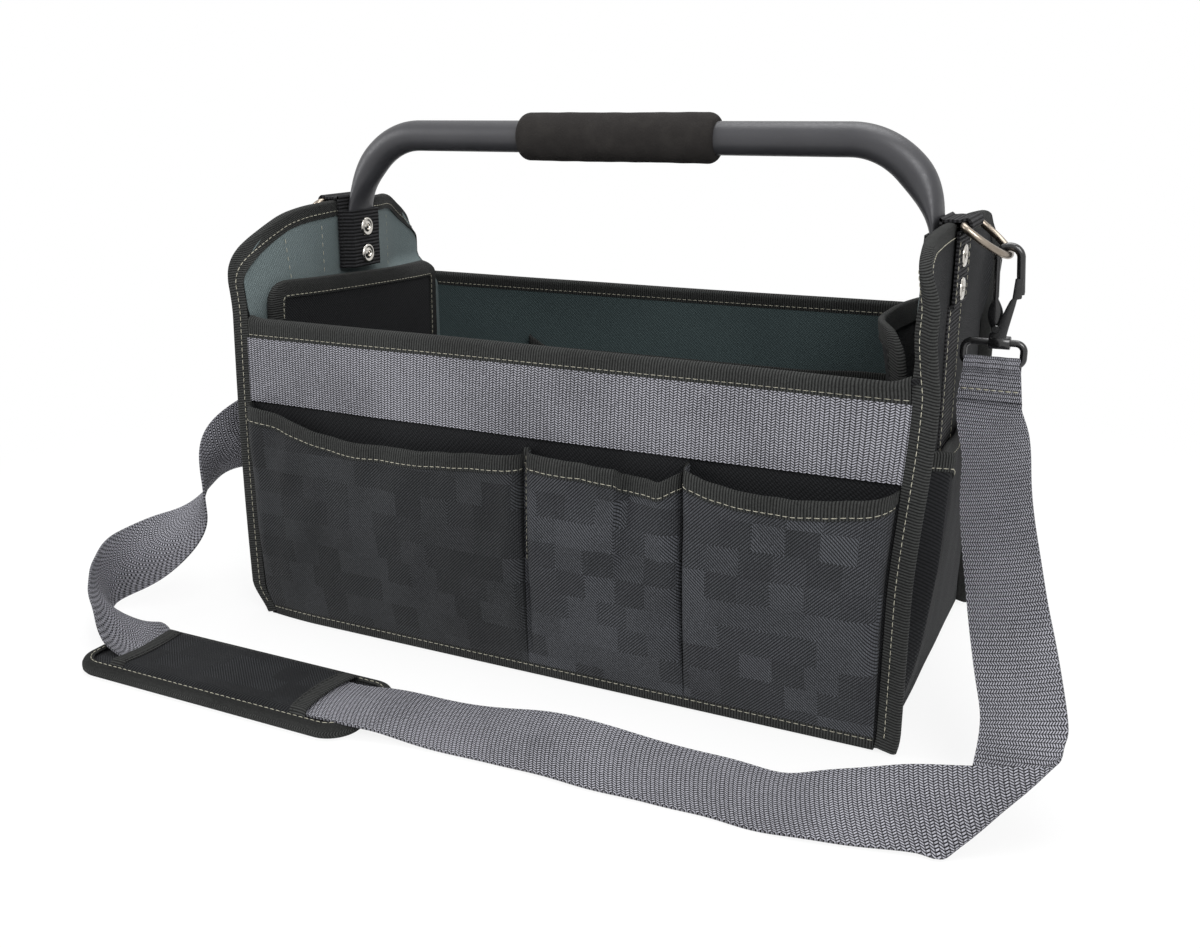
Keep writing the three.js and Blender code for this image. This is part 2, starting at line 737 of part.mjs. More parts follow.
function strapTail() {
  const line = [];
  const drop = [tailLength, tailLength * 0.7, tailLength * 0.4];
  for (const d of drop) line.push([-tailFaces, loopLowZ - d]);
  for (let i = 0; i <= 8; i += 1) {
    const angle = -0.6 + (Math.PI + 1.2) * (i / 8);
    line.push([-tailBend * Math.cos(angle), loopLowZ + tailBend * Math.sin(angle)]);
  }
  for (const d of drop.reverse()) line.push([tailFaces, loopLowZ - d]);
  const pairs = line.map(([y, z]) => [
    new THREE.Vector3(loopCentreX - tailHalfWidth(z), y, z),
    new THREE.Vector3(loopCentreX + tailHalfWidth(z), y, z),
  ]);
  return ribbon(pairs, strapThickness);
}

// Free strap. Each stop gives a centre point and the direction across the strap.
function strapPairs(stops, steps) {
  const centres = new THREE.CatmullRomCurve3(stops.map((s) => new THREE.Vector3(...s.at)), false, 'centripetal');
  const across = new THREE.CatmullRomCurve3(stops.map((s) => new THREE.Vector3(...s.across)), false, 'centripetal');
  const pairs = [];
  const last = stops.length - 1;
  for (let i = 0; i <= last * steps; i += 1) {
    const t = i / (last * steps);
    const stop = Math.min(Math.floor(t * last), last - 1);
    const part = t * last - stop;
    const half = THREE.MathUtils.lerp(
      stops[stop].half ?? strapHalfWidth,
      stops[stop + 1].half ?? strapHalfWidth,
      part,
    );
    const centre = centres.getPoint(t);
    const along = centres.getTangent(t);
    const side = across.getPoint(t);
    side.addScaledVector(along, -side.dot(along)).normalize();
    pairs.push([
      centre.clone().addScaledVector(side, -half),
      centre.clone().addScaledVector(side, half),
    ]);
  }
  return pairs;
}

// Diagonal fold: the strap comes down along one direction, rolls round a slanting crease of small
// radius towards the front and leaves along the other direction.
function foldPairs(crease, comesIn, goesOut, radius) {
  const inward = new THREE.Vector3(...comesIn).normalize();
  const outward = new THREE.Vector3(...goesOut).normalize();
  const ridge = inward.clone().add(outward).normalize();
  const slant = Math.acos(ridge.dot(inward));
  const ahead = inward.clone().addScaledVector(ridge, -Math.cos(slant)).normalize();
  const front = new THREE.Vector3().crossVectors(ridge, ahead).normalize();
  if (front.y > 0) front.negate();
  const centre = new THREE.Vector3(...crease);
  const pairs = [];
  const steps = 8;
  for (let i = 0; i <= steps; i += 1) {
    const turn = (Math.PI * i) / steps;
    const past = radius * turn;
    const edge = (w) => centre.clone()
      .addScaledVector(ridge, (past * Math.cos(slant) - w) / Math.sin(slant))
      .addScaledVector(ahead, radius * Math.sin(turn))
      .addScaledVector(front, radius * (1 - Math.cos(turn)));
    pairs.push([edge(-strapHalfWidth), edge(strapHalfWidth)]);
  }
  return pairs;
}

const startZ = tailZ - clearance;
const onPad = padThickness + clearance + strapThickness / 2;
const startHalf = tailHalfWidth(tailZ);
const crease = [306.5, -186, 25];
const comesIn = [0.06, -0.544, -0.84];
const goesOut = [-0.94, -0.33, 0];
const creaseRadius = 4;
const rightFall = [
  { at: [loopCentreX, tailFaces, startZ], across: [1, 0, 0], half: startHalf },
  { at: [loopCentreX, tailFaces, startZ - 8], across: [1, 0, 0], half: startHalf },
  { at: [265, -18, 164], across: [0.95, -0.24, 0.16], half: startHalf + 0.8 },
  { at: [270.7, -46.8, 138], across: [0.93, -0.26, 0.25], half: strapHalfWidth - 0.8 },
  { at: [286, -91.5, 94], across: [0.91, -0.25, 0.34] },
  { at: [296, -117, 70], across: [0.9, -0.2, 0.38] },
  { at: [303.5, -138, 56], across: [0.86, -0.2, 0.46] },
  { at: [307.5, -157, 44], across: [0.88, -0.02, 0.42] },
];
const rightFloor = [
  { at: [262, -202, 15.5], across: [0.08, 0.8, 0.58] },
  { at: [221, -209.7, 9.6], across: [-0.02, 0.94, 0.34] },
  { at: [190.4, -214, 5.4], across: [-0.05, 0.985, 0.16] },
  { at: [157, -213.5, 5.8], across: [-0.06, 0.98, 0.18] },
  { at: [119, -215.5, 6.6], across: [-0.06, 0.975, 0.21] },
  { at: [90, -218, 8.8], across: [-0.06, 0.955, 0.29] },
  { at: [51, -217, 8.6], across: [-0.06, 0.95, 0.29] },
  { at: [20, -218.5, 6.4], across: [0, 0.98, 0.2] },
  { at: [-18, -220.5, 5], across: [0, 0.995, 0.1] },
  { at: [-48, -224, 8.2], across: [0, 1, 0.03] },
  { at: [-72, -229, onPad + 0.4], across: [0, 1, 0] },
  { at: [-100, -231, onPad], across: [0, 1, 0] },
  { at: [-168, -229, onPad], across: [0, 1, 0] },
];
const leftFall = [
  { at: [-loopCentreX, tailFaces, startZ], across: [1, 0, 0], half: startHalf },
  { at: [-loopCentreX, tailFaces, startZ - 8], across: [1, 0, 0], half: startHalf },
  { at: [-264, -14, 165], across: [0.9, -0.25, 0.35], half: startHalf + 0.8 },
  { at: [-279, -45, 139], across: [0.4, 0, 0.9] },
  { at: [-290, -73, 118], across: [-0.03, 0.12, 0.99] },
  { at: [-304, -88, 95], across: [0.35, -0.6, 0.72] },
  { at: [-308, -97, 76], across: [0.64, -0.69, 0.3] },
  { at: [-311.7, -107, 61], across: [0.8, -0.58, -0.13] },
  { at: [-317.5, -125, 49], across: [0.78, -0.34, -0.5] },
  { at: [-327, -148, 38.5], across: [0.55, -0.12, -0.82] },
  { at: [-333, -165, 34], across: [0.2, 0.05, -0.98] },
  { at: [-332.5, -179, 31], across: [0, 0.16, -0.99] },
  { at: [-325, -193, 26.5], across: [-0.2, 0.46, -0.86] },
  { at: [-311, -202, 22.5], across: [-0.4, 0.66, -0.64] },
  { at: [-292, -209, 19.4], across: [-0.4, 0.84, -0.34] },
  { at: [-278, -214, 14.8], across: [-0.24, 0.95, -0.03] },
  { at: [-267, -217.5, 11.4], across: [-0.12, 0.99, 0.07], half: strapHalfWidth - 0.5 },
  { at: [-256, -222, onPad + 0.5], across: [-0.05, 1, 0], half: strapHalfWidth - 2.4 },
  { at: [-232, -223.5, onPad + 0.2], across: [0, 1, 0.005], half: strapHalfWidth - 1 },
  { at: [-174, -228.5, onPad], across: [0, 1, 0] },
];

// Shoulder pad on the floor, with a fabric sleeve over the strap and tape round its edge
function padShape(grow) {
  const x = padHalfLength + grow;
  const y = padHalfWidth + grow;
  const r = padCorner + grow;
  const shape = new THREE.Shape();
  shape.moveTo(-x + r, -y);
  shape.lineTo(x - r, -y);
  shape.absarc(x - r, -y + r, r, -Math.PI / 2, 0, false);
  shape.absarc(x - r, y - r, r, 0, Math.PI / 2, false);
  shape.absarc(-x + r, y - r, r, Math.PI / 2, Math.PI, false);
  shape.absarc(-x + r, -y + r, r, Math.PI, 1.5 * Math.PI, false);
  return shape;
}

function atPad(geometry) {
  return geometry.translate(padCentre.x, padCentre.y, 0);
}

function padTape() {
  const ring = alongZ(padShape(clearance + tape), 0, padThickness - 1, 5);
  return atPad(cut(ring, alongZ(padShape(clearance), -1, padThickness, 5)));
}

function padSleeve() {
  const rise = strapThickness + 5 * clearance;
  const edge = padHalfWidth - 1;
  const flat = strapHalfWidth + 4;
  return atPad(sheet(4, 10, (u, v, side) => {
    const y = -edge + 2 * edge * v;
    const lift = smooth(clamp01((edge - Math.abs(y)) / (edge - flat)));
    const z = padThickness + clearance + rise * lift + side * tape;
    return new THREE.Vector3(sleeveHalfLength * (2 * u - 1), y, z);
  }));
}

// Assemble the walls
piece('front_panel', frontPanel, looks.shell);
piece('back_panel', turned(frontPanel), looks.shell);
piece('front_lining', frontLining, looks.lining);
piece('back_lining', turned(frontLining), looks.lining);
piece('front_top_binding', frontTopTape, looks.tape);
piece('back_top_binding', turned(frontTopTape), looks.tape);
piece('front_bottom_binding', frontBottomTape, looks.tape);
piece('back_bottom_binding', turned(frontBottomTape), looks.tape);
piece('front_band', band, looks.webbing);
piece('back_band', turned(band), looks.webbing);
for (const [name, size] of Object.entries(frontPockets)) {
  const patch = pocket({ foot: pocketFoot, ...size }).translate(0, -frontY, 0);
  piece(`front_${name}_pocket`, patch, looks.pocket);
  piece(`back_${name}_pocket`, turned(patch), looks.pocket);
}

// Flat pocket inside the back wall
piece('inner_back_pocket', pocket({
  x0: backPocketFrom, x1: backPocketTo, foot: backPocketFoot, depth: backPocketDepth, columns: 12, rows: 4,
  top: (u) => backPocketTop + 6 * (1 - smooth(clamp01(u / 0.08))),
}).translate(0, liningY, 0), looks.shell);

// Pieces that both ends have
const endPocket = pocket({
  x0: -endPocketHalf, x1: endPocketHalf, foot: endPocketFoot, depth: endPocketDepth, columns: 10, rows: 5,
  top: (u) => endPocketTop - 4 * (1 - (2 * u - 1) ** 2),
}).rotateZ(Math.PI / 2).translate(endX, 0, 0);

function innerPocket() {
  const corner = (y) => {
    const past = Math.max(Math.abs(y) - (innerPocketHalf - innerPocketCorner), 0);
    return innerPocketTop - innerPocketCorner + Math.sqrt(innerPocketCorner ** 2 - past ** 2);
  };
  return sheet(14, 5, (u, v, side) => {
    const y = innerPocketHalf * Math.sin((Math.PI / 2) * (2 * u - 1));
    const z = innerPocketFoot + (corner(y) - innerPocketFoot) * v;
    const lean = innerPocketLean * v ** 2 * (1 - 0.75 * (2 * u - 1) ** 6);
    return new THREE.Vector3(liningX - clearance - lean - side * innerPocketThickness, y, z);
  });
}

const endPieces = {
  end_panel: [endPanel, looks.shell],
  end_lining: [endLining, looks.lining],
  end_binding: [endBinding, looks.tape],
  end_pocket: [endPocket, looks.pocket],
  inner_pocket: [innerPocket(), looks.shell],
  handle_sleeve: [handleSleeve(), looks.blackWebbing],
  ring_tab: [ringTab(), looks.blackWebbing],
  upper_rivet: [rivet(rivetHeights[0]), looks.nickel],
  lower_rivet: [rivet(rivetHeights[1]), looks.nickel],
  d_ring: [dRing(), looks.nickel],
  hook: [hook(), looks.blackSteel],
  hook_gate: [gate(), looks.blackSteel],
  gate_pin: [gatePin(), looks.blackSteel],
  gate_spring: [gateSpring(), looks.blackSteel],
  strap_loop: [strapLoop(), looks.blackSteel],
  strap_tail: [strapTail(), looks.webbing],
};
for (const [name, [geometry, look]] of Object.entries(endPieces)) {
  piece(`right_${name}`, geometry, look);
  piece(`left_${name}`, mirrored(geometry), look);
}

piece('handle_tube', handleTube(), looks.tube);
piece('handle_grip', grip(), looks.foam);

piece('right_strap', ribbon([
  ...strapPairs(rightFall, 3),
  ...foldPairs(crease, comesIn, goesOut, creaseRadius),
  ...strapPairs(rightFloor, 3),
], strapThickness), looks.webbing);
piece('left_strap', ribbon(strapPairs(leftFall, 3), strapThickness), looks.webbing);
piece('shoulder_pad', atPad(alongZ(padShape(0), 0, padThickness)), looks.pocket);
piece('pad_binding', padTape(), looks.tape);
piece('pad_sleeve', padSleeve(), looks.pocket);

export default bag;
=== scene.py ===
"""Looks of an open-top tool bag: sewn shell, pockets, tube handle, ring hardware and shoulder strap.

Sizes are millimetres until a mesh is made. Meshes are in metres, in the part's own frame.
"""
from __future__ import annotations

import functools
import logging
import math
import operator
from collections.abc import Callable, Iterable
from dataclasses import dataclass, replace
from enum import Enum

import bmesh
import bpy
import numpy as np
from mathutils import Matrix

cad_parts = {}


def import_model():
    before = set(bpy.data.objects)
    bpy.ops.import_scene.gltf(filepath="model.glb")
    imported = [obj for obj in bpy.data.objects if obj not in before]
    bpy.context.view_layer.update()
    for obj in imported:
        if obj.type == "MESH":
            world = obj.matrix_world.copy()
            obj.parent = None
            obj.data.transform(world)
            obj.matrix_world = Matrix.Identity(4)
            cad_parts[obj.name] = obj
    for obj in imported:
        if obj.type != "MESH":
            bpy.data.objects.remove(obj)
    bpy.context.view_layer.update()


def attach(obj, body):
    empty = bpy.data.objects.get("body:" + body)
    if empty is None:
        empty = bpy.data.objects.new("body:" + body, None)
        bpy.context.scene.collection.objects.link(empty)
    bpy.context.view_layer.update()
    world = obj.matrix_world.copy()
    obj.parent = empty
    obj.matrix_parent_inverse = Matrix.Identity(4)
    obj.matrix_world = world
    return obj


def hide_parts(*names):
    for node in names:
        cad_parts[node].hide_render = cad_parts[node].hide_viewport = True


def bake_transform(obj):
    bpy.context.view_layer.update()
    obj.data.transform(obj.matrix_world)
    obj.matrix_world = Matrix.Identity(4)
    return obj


LOG = logging.getLogger("tool_bag")
MM = 0.001
Array = np.ndarray
Socket = bpy.types.NodeSocket
CREASE_ANGLE = 52.0
BLOCK = (20.0, 17.0)
SIDES = ("right", "left")
WALLS = ("front", "back")
X_AXIS = np.array([1.0, 0.0, 0.0])
Y_AXIS = np.array([0.0, 1.0, 0.0])
Z_AXIS = np.array([0.0, 0.0, 1.0])


# Small numeric helpers

def smooth(t: Array | float) -> Array:
    """Eases t from 0 to 1 with level ends: 3t^2 - 2t^3, clipped outside.

    Args:
        t: Values, 0 at the start and 1 at the end.

    Returns:
        The eased values.
    """
    t = np.clip(t, 0.0, 1.0)
    return t * t * (3.0 - 2.0 * t)


def unit(v: Array) -> Array:
    """Returns vectors scaled to length one along the last axis."""
    return v / np.maximum(np.linalg.norm(v, axis=-1, keepdims=True), 1e-9)


def ripple(a: Array, b: Array, seed: int, size: float, waves: int = 7) -> Array:
    """Soft cloth unevenness: the mean of sine waves with fixed, seeded directions and lengths.

    Args:
        a: First surface coordinate.
        b: Second surface coordinate.
        seed: Chooses the waves.
        size: Typical wave length, in the coordinates' unit.
        waves: How many waves are added.

    Returns:
        Values of about -1 to 1, in the shape of a and b together.
    """
    rng = np.random.default_rng(seed)
    turn = rng.uniform(0.0, math.pi, waves)
    pace = 2.0 * math.pi / (size * rng.uniform(0.6, 1.7, waves))
    phase = rng.uniform(0.0, 2.0 * math.pi, waves)
    along = np.asarray(a)[..., None] * np.cos(turn) + np.asarray(b)[..., None] * np.sin(turn)
    return np.sin(along * pace + phase).sum(axis=-1) / math.sqrt(2.0 * waves)


def spline(stops: Array, steps: int) -> Array:
    """A centripetal Catmull-Rom curve through points, with even steps in each span.

    Args:
        stops: Points to pass through, one per row.
        steps: Samples in each span.

    Returns:
        The curve's points, the last stop included.
    """
    ends = np.vstack([2 * stops[:1] - stops[1:2], stops, 2 * stops[-1:] - stops[-2:-1]])
    gaps = np.sqrt(np.linalg.norm(np.diff(ends, axis=0), axis=1))[:, None]
    span = np.arange(len(stops) - 1)
    p0, p1, p2, p3 = (ends[span + k] for k in range(4))
    middle = np.where(gaps[span + 1] < 1e-4, 1.0, gaps[span + 1])
    before = np.where(gaps[span] < 1e-4, middle, gaps[span])
    after = np.where(gaps[span + 2] < 1e-4, middle, gaps[span + 2])
    leave = middle * ((p1 - p0) / before - (p2 - p0) / (before + middle) + (p2 - p1) / middle)
    reach = middle * ((p2 - p1) / middle - (p3 - p1) / (middle + after) + (p3 - p2) / after)
    t = (np.arange(steps) / steps)[None, :, None]
    start, stop, leave, reach = (part[:, None] for part in (p1, p2, leave, reach))
    curve = (start + leave * t + (3 * (stop - start) - 2 * leave - reach) * t ** 2
             + (2 * (start - stop) + leave + reach) * t ** 3)
    return np.vstack([curve.reshape(-1, stops.shape[1]), stops[-1:]])


def lengths(points: Array, axis: int = 0) -> Array:
    """Running length along one axis of a grid of points, starting at zero.

    Args:
        points: The grid, with the coordinates last.
        axis: The axis to run along.

    Returns:
        The length at each point of the grid.
    """
    step = np.linalg.norm(np.diff(points, axis=axis), axis=-1)
    start = np.zeros_like(np.take(step, [0], axis=axis))
    return np.concatenate([start, np.cumsum(step, axis=axis)], axis=axis)


def stacked(*parts: Array | float) -> Array:
    """Returns coordinates of matching shapes as one array of points."""
    return np.stack(np.broadcast_arrays(*parts), axis=-1)


def sampled(place: Array, run: Array, rows: Array) -> Array:
    """Returns the rows of an array read off at places along its running length."""
    return np.stack([np.interp(place, run, column) for column in rows.T], axis=-1)


def doubled(half: Array) -> Array:
    """Returns half a line that ends on the middle, and its mirror image, as one line."""
    return np.vstack([half, (half * [-1.0, 1.0])[-2::-1]])


def unit_ring(sides: int) -> Array:
    """Returns even points round a circle of radius one."""
    angle = np.linspace(0.0, 2.0 * math.pi, sides, endpoint=False)
    return stacked(np.cos(angle), np.sin(angle))


def arc(start: float, stop: float, wide: float, high: float, count: int) -> Array:
    """Returns points of an oval arc about zero, between two angles."""
    turn = np.linspace(start, stop, count)
    return stacked(wide * np.cos(turn), high * np.sin(turn))


def capped(rings: Array) -> Array:
    """Returns a grid of rings with both ends drawn in to their centres."""
    ends = np.broadcast_to(rings[[0, -1]].mean(axis=1, keepdims=True), (2,) + rings.shape[1:])
    return np.concatenate([ends[:1], rings, ends[1:]])


# Surfaces

@dataclass
class Shell:
    """A surface of quads with its own UV map in metres.

    verts is (points, 3) in mm, quads is (faces, 4), and uv is (faces, 4, 2).
    """

    verts: Array
    quads: Array
    uv: Array

    def __add__(self, other: Shell) -> Shell:
        """Joins two surfaces.

        Args:
            other: The surface to add.

        Returns:
            Both as one.
        """
        return Shell(
            np.vstack([self.verts, other.verts]),
            np.vstack([self.quads, other.quads + len(self.verts)]),
            np.vstack([self.uv, other.uv]),
        )

    def moved(self, place: Callable[[Array], Array]) -> Shell:
        """Returns the surface with every point passed through a placing function."""
        return Shell(place(self.verts), self.quads, self.uv)

    def flipped(self) -> Shell:
        """Returns the surface with its faces turned round."""
        return Shell(self.verts, self.quads[:, ::-1], self.uv[:, ::-1])

    def mirrored(self) -> Shell:
        """Returns the surface as it is at the other end of the bag."""
        return self.moved(lambda p: p * np.array([-1.0, 1.0, 1.0])).flipped()

    def turned(self) -> Shell:
        """Returns the surface turned half round the upright axis, from the front to the back."""
        return self.moved(lambda p: p * np.array([-1.0, -1.0, 1.0]))

    def facing(self, way: tuple[float, float, float]) -> Shell:
        """Turns an open sheet so that its mean face points a given way.

        Args:
            way: The direction that the outer face should look.

        Returns:
            The sheet, flipped if need be.
        """
        a, b, c, d = (self.verts[self.quads[:, k]] for k in range(4))
        mean = np.cross(c - a, d - b).sum(axis=0)
        return self if mean @ np.asarray(way) >= 0 else self.flipped()

    def walled(self, thickness: float, offset: float = -1.0) -> Shell:
        """Gives an open sheet its thickness: a second skin along the normals and a rim round the free edges.

        Args:
            thickness: Wall thickness in mm.
            offset: Where the wall lies: -1 behind the sheet, 0 on both sides.

        Returns:
            The closed surface.
        """
        a, b, c, d = (self.verts[self.quads[:, k]] for k in range(4))
        normal = np.zeros_like(self.verts)
        np.add.at(normal, self.quads.ravel(), np.repeat(np.cross(c - a, d - b), 4, axis=0))
        normal = unit(normal) * thickness / 2.0
        count = len(self.verts)
        edges = np.stack([self.quads, np.roll(self.quads, -1, axis=1)], axis=-1).reshape(-1, 2)
        edge_uv = np.stack([self.uv, np.roll(self.uv, -1, axis=1)], axis=2).reshape(-1, 2, 2)
        keys = np.sort(edges, axis=1) @ [count, 1]
        _, first, tally = np.unique(keys, return_index=True, return_counts=True)
        free = first[tally == 1]
        start, stop = edges[free].T
        rim = np.stack([stop, start, start + count, stop + count], axis=-1)
        return Shell(
            np.vstack([self.verts + normal * (1.0 + offset), self.verts - normal * (1.0 - offset)]),
            np.vstack([self.quads, self.quads[:, ::-1] + count, rim]),
            np.vstack([self.uv, self.uv[:, ::-1], edge_uv[free][:, [1, 0, 0, 1]]]),
        )

    def outward(self) -> Shell:
        """Turns a closed surface so that it faces out.

        Returns:
            The surface, flipped if its volume comes out negative.
        """
        a, b, c, d = (self.verts[self.quads[:, k]] for k in range(4))
        volume = (np.cross(a, b) * c).sum() + (np.cross(a, c) * d).sum()
        return self if volume >= 0 else self.flipped()


def joined(shells: Iterable[Shell]) -> Shell:
    """Returns several surfaces as one."""
    return functools.reduce(operator.add, shells)


def on_side(shell: Shell, side: str) -> Shell:
    """Returns a surface that is drawn for the right end, mirrored where the left end is meant."""
    return shell if side == "right" else shell.mirrored()


def on_wall(shell: Shell, wall: str) -> Shell:
    """Returns a surface that is drawn for the front wall, turned where the back wall is meant."""
    return shell if wall == "front" else shell.turned()


def grid(points: Array, uv: Array | None = None, wrap_u: bool = False, wrap_v: bool = False) -> Shell:
    """Quads over a grid of points.

    Args:
        points: (rows, columns, 3) in mm.
        uv: Flat place of each point in mm, with one more row or column where the grid wraps.
            Running lengths along both directions where none is given.
        wrap_u: Joins the last row to the first.
        wrap_v: Joins the last column to the first.

    Returns:
        The surface.
    """
    rows, columns = points.shape[:2]
    if uv is None:
        whole = np.concatenate([points, points[:1]], axis=0) if wrap_u else points
        whole = np.concatenate([whole, whole[:, :1]], axis=1) if wrap_v else whole
        uv = np.stack([lengths(whole, 0), lengths(whole, 1)], axis=-1)
    last = (rows if wrap_u else rows - 1, columns if wrap_v else columns - 1)
    i, j = np.meshgrid(np.arange(last[0]), np.arange(last[1]), indexing="ij")
    i1, j1 = (i + 1) % rows, (j + 1) % columns
    quads = np.stack([i * columns + j, i1 * columns + j, i1 * columns + j1, i * columns + j1], axis=-1)
    corners = np.stack([uv[i, j], uv[i + 1, j], uv[i + 1, j + 1], uv[i, j + 1]], axis=2)
    flat = corners.reshape(-1, 4, 2) * MM
    return Shell(points.reshape(-1, 3).astype(float), quads.reshape(-1, 4), flat)


def sweep(path: Array, up: Array, profile: Array, wrap: bool = True, loop: bool = False,
          cap: bool = False) -> Shell:
    """A profile carried along a path. Profile columns are the offsets to the side and up.

    Args:
        path: (stations, 3) centre points.
        up: One vector, or one per station, that sets the profile's upright.
        profile: (points, 2), or (stations, points, 2) where it changes along the path.
        wrap: The profile is a closed ring.
        loop: The path is a closed ring.
        cap: Draws both ends in to their centres.

    Returns:
        The surface.
    """
    if loop:
        along = unit(np.roll(path, -1, axis=0) - np.roll(path, 1, axis=0))
    else:
        along = unit(np.gradient(path, axis=0))
    side = unit(np.cross(along, np.broadcast_to(up, path.shape)))
    rise = np.cross(side, along)
    profile = np.broadcast_to(profile, (len(path),) + profile.shape[-2:])
    points = path[:, None] + side[:, None] * profile[..., :1] + rise[:, None] * profile[..., 1:]
    return grid(capped(points) if cap else points, None, loop, wrap)


def circle(radius: float | Array, sides: int = 24, flat: float | Array = 1.0) -> Array:
    """A round profile, or one oval per station where the radius is an array.

    Args:
        radius: Half width.
        sides: Points round the ring.
        flat: Share of the radius that the other half axis has.

    Returns:
        (sides, 2), or (stations, sides, 2).
    """
    axes = stacked(np.asarray(radius, float) * flat, radius)
    return unit_ring(sides) * axes[..., None, :]


def lathe(profile: list[tuple[float, float]], centre: tuple[float, float, float], axis: Array,
          sides: int = 28) -> Shell:
    """A turned surface: (radius, distance along the axis) points spun about an axis.

    Args:
        profile: Points from one end to the other, on the axis where the radius is zero.
        centre: Where the axis starts.
        axis: The axis direction, of length one.
        sides: Points round the axis.

    Returns:
        The closed surface.
    """
    line = np.asarray(profile, float)
    across = unit(np.cross(axis, [0.3, 0.5, 0.81]))
    ring = unit_ring(sides) @ np.stack([across, np.cross(axis, across)])
    points = np.asarray(centre, float) + line[:, None, 1:] * axis + line[:, None, :1] * ring
    return grid(points, None, False, True).outward()


def stitch_row(path: Array, normal: Array, pitch: float = 4.4, length: float = 3.4,
               radius: float = 0.24) -> Shell:
    """A row of thread dashes, each a small spindle whose ends dip into the cloth.

    Args:
        path: (points, 3) line of the seam on the cloth's surface.
        normal: One vector, or one per point, out of the cloth.
        pitch: Distance between stitches.
        length: Length of one stitch.
        radius: Thread radius.

    Returns:
        The closed surface of all the stitches.
    """
    run = lengths(path)
    count = max(int(run[-1] // pitch), 1)
    place = (np.arange(count) + 0.5) * (run[-1] / count)
    along = unit(sampled(place + 0.5, run, path) - sampled(place - 0.5, run, path))
    out = unit(sampled(place, run, np.broadcast_to(normal, path.shape)))
    axes = np.stack([along, unit(np.cross(along, out)), out], axis=1)
    reach = np.array([-0.5, -0.36, 0.0, 0.36, 0.5])[:, None] * length
    thick = np.array([0.02, 0.85, 1.0, 0.85, 0.02])[:, None] * radius
    lift = np.array([-0.8, 0.35, 0.7, 0.35, -0.8])[:, None] * radius
    ring = unit_ring(6)
    local = stacked(reach, thick * ring[:, 0], thick * ring[:, 1] + lift)
    points = sampled(place, run, path)[:, None, None] + np.einsum("abk,nkc->nabc", local, axes)
    one = grid(points[0], None, False, True)
    offset = (np.arange(count) * len(one.verts))[:, None, None]
    quads = (one.quads[None] + offset).reshape(-1, 4)
    return Shell(points.reshape(-1, 3), quads, np.tile(one.uv, (count, 1, 1))).outward()


def build(name: str, shell: Shell, weld: bool = False) -> bpy.types.Object:
    """Makes a smooth mesh object in metres from a surface.

    Args:
        name: Object name.
        shell: The surface, in mm.
        weld: Merges points that fall together, at poles and caps.

    Returns:
        The new object, linked to the scene.
    """
    mesh = bpy.data.meshes.new(name)
    faces = len(shell.quads)
    mesh.vertices.add(len(shell.verts))
    mesh.vertices.foreach_set("co", (shell.verts * MM).astype(np.float32).ravel())
    mesh.loops.add(faces * 4)
    mesh.loops.foreach_set("vertex_index", shell.quads.astype(np.int32).ravel())
    mesh.polygons.add(faces)
    mesh.polygons.foreach_set("loop_start", np.arange(0, faces * 4, 4, dtype=np.int32))
    layer = mesh.uv_layers.new(name="UVMap")
    layer.data.foreach_set("uv", shell.uv.astype(np.float32).ravel())
    mesh.update(calc_edges=True)
    if weld:
        work = bmesh.new()
        work.from_mesh(mesh)
        bmesh.ops.remove_doubles(work, verts=work.verts, dist=1e-6)
        bmesh.ops.dissolve_degenerate(work, edges=work.edges, dist=1e-7)
        work.to_mesh(mesh)
        work.free()
    mesh.polygons.foreach_set("use_smooth", np.ones(len(mesh.polygons), dtype=bool))
    mesh.set_sharp_from_angle(angle=math.radians(CREASE_ANGLE))
    mesh.update()
    piece = bpy.data.objects.new(name, mesh)
    bpy.context.scene.collection.objects.link(piece)
    return piece


# Finishes

def linear(color: tuple[int, int, int]) -> tuple[float, float, float, float]:
    """Turns an 8-bit sRGB colour to linear RGBA.

    Args:
        color: Red, green and blue, 0 to 255.

    Returns:
        The linear colour, opaque.
    """
    c = np.asarray(color, float) / 255.0
    c = np.where(c <= 0.04045, c / 12.92, ((c + 0.055) / 1.055) ** 2.4)
    return (float(c[0]), float(c[1]), float(c[2]), 1.0)


